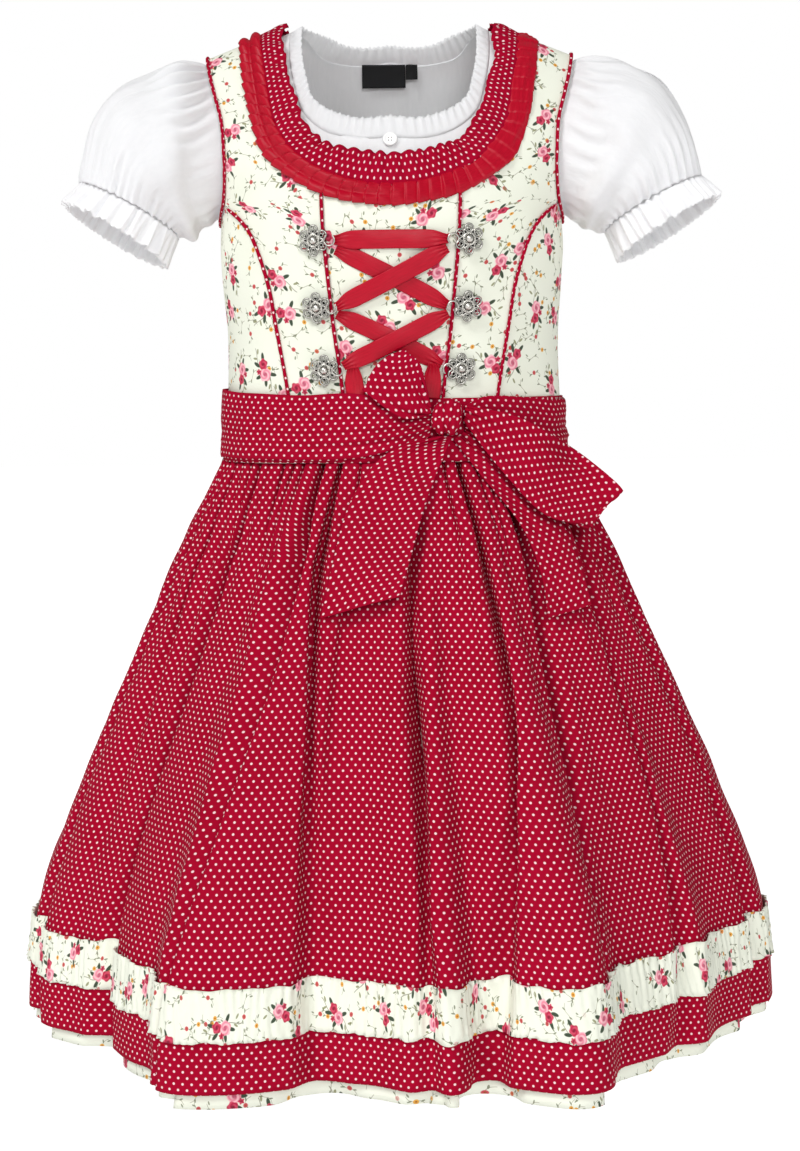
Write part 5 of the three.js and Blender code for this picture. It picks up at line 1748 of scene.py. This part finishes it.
# %% Wire eye
def make_eye(at):
    """A wire bent into an open ring round the lace, with its gap above."""
    def shape(across, up):
        turn = np.radians(blend(-245, 60, up))
        section = 2 * np.pi * across
        thin = 0.62 * clamp(40 * np.minimum(up, 1 - up)) ** 0.5
        radius = 3.7 - thin * np.cos(section)
        points = spots(at + radius * np.cos(turn), radius * np.sin(turn), 2.2 + thin * np.sin(section))
        return points, spots(across * 4, up * 20)
    eye = lay_cloth("eye", 8, 30, shape, 0, True)
    store_raised(eye, np.full(len(eye.data.vertices), 0.8))
    return eye

# %% Antique silver
def make_silver():
    silver = Finish("antique silver", Metallic=1.0, Roughness=0.34)
    place = silver.place()
    tarnish = silver.noise(place, 900, 3)
    raised = silver.node("Attribute", {"attribute_name": "raised"}, output=2)
    light = silver.paint(tarnish, shade(190, 188, 180), shade(235, 233, 226))
    silver.show("Base Color", silver.paint(raised, shade(30, 27, 25), light))
    silver.show("Roughness", tarnish * 0.25 + 0.24)
    silver.bump(tarnish, 0.4, 0.0001)
    return silver

antique_silver = make_silver()

# %% Six hooks in their places
HOOK_LIFT = 2.5
# height name, distance from the centre, height, and distance of the wire eye from the centre
HOOKS = (("top", 51.5, -129, 40), ("middle", 50.5, -173.5, 39.5), ("low", 46, -216, 36.5))

def place_hooks():
    rosette = make_rosette()
    for level_name, x, z, eye_x in HOOKS:
        for side, side_name in SIDES:
            eye = make_eye(x - eye_x)
            body = rosette.copy()
            body.data = rosette.data.copy()
            bpy.context.collection.objects.link(body)
            join_pieces([body, eye])
            spot, off = front_spot(side * x, z)
            off = Vector(off)
            upward = (Vector((0, 0, 1)) - off * off.z).normalized()
            rightward = upward.cross(off)
            turned = Matrix((rightward, upward, off)).transposed().to_4x4()
            if side > 0:
                turned = turned @ Matrix.Rotation(math.pi, 4, "Z")
            body.data.transform(Matrix.Translation((Vector(spot) + off * HOOK_LIFT) * MM) @ turned)
            node = f"hook_{level_name}_{side_name}"
            body.name = node + "_silver"
            body.data.materials.clear()
            body.data.materials.append(antique_silver.material)
            stands_for(body, node)
    bpy.data.objects.remove(rosette)

place_hooks()

# %% [markdown]
# ## Button and labels
# The blouse closes with one small button. It is turned on a lathe: a profile that goes round.
# Its four holes are grey spots in the finish: painted shade in place of real holes. Inside the neck hang a
# plain black label and a plain black size tab, both blank.

# %% Button
def make_plastic():
    plastic = Finish("white plastic", Roughness=0.25)
    x, y = plastic.cloth()
    cloudy = plastic.noise(plastic.spot_at(x, y), 0.5, 2)
    colour = plastic.paint(cloudy, shade(238, 238, 238), shade(248, 248, 246))
    for at_x, at_y in ((1, 1), (1, -1), (-1, 1), (-1, -1)):
        # painted shade: each hole is a grey spot in the colour
        hole = round_spot(x, y, at_x, at_y, 0.5, 0.12)[0]
        colour = plastic.paint(hole, colour, shade(150, 148, 146))
    plastic.show("Base Color", colour)
    return plastic

BUTTON_LIFT = -3.9
# radius and height of the turned profile
BUTTON = table("""
    0   0
    4.6 0
    5   0.8
    4.7 1.9
    4   2.1
    3.3 1.7
    2.8 1.2
    0   1.1
""")

def make_button():
    def shape(across, up):
        rows = np.arange(BUTTON.shape[1])
        radius, height = [np.interp(up * rows[-1], rows, column) for column in BUTTON]
        turn = 2 * np.pi * across
        middle, off = front_spot(0.0, level_of(0, -60))
        upward = unit(np.array([0, 0, 1]) - off * off[2])
        sideways = np.cross(upward, off)
        u, v = radius * np.cos(turn), radius * np.sin(turn)
        points = middle + u[..., None] * sideways + v[..., None] * upward
        return points + off * (height + BUTTON_LIFT)[..., None], spots(u, v)
    piece = lay_cloth("button", 32, 14, shape, 0, True, make_plastic())
    stands_for(piece, "blouse_button")

make_button()

# %% Labels
def make_tape():
    tape = Finish("black tape", Roughness=0.7, Specular_IOR_Level=0.25)
    across, along = tape.cloth()
    ribs = weave(across, along, 0.5)
    # painted shade: the colour is darker between the ribs and lighter on their tops
    tape.show("Base Color", tape.paint(ribs, shade(16, 16, 17), shade(28, 28, 30)))
    tape.bump(ribs, 0.5, 0.0002)
    return tape

black_tape = make_tape()

LABEL_LIFT = -7.3  # inside the blouse

def make_label(name, node, left, right, top, foot, seed):
    def shape(across, up):
        x = blend(left, right, across)
        ends = np.array([left, right])
        z = blend(height_of(ends, foot).mean(), height_of(ends, top).mean(), up)
        points, off = back_spot(x, level_of(x, z))
        lift = LABEL_LIFT + 0.4 * swell(across * 30, up * 12, seed, 16) - 0.8 * (1 - up) ** 2
        return points + off * lift[..., None], flat_places(points) + np.array([40, 4])
    piece = lay_cloth(name, 30, 12, shape, 0.5, finish=black_tape)
    flat = max(0.01, (right - left) * MM), 0.0125
    stands_for(piece, node, flat, "blouse_back_cloth")

make_label("blank_label", "neck_label", -21, 12, -27, -38, 401)
make_label("blank_size_tab", "size_tab", 12.4, 21, -27, -34, 402)
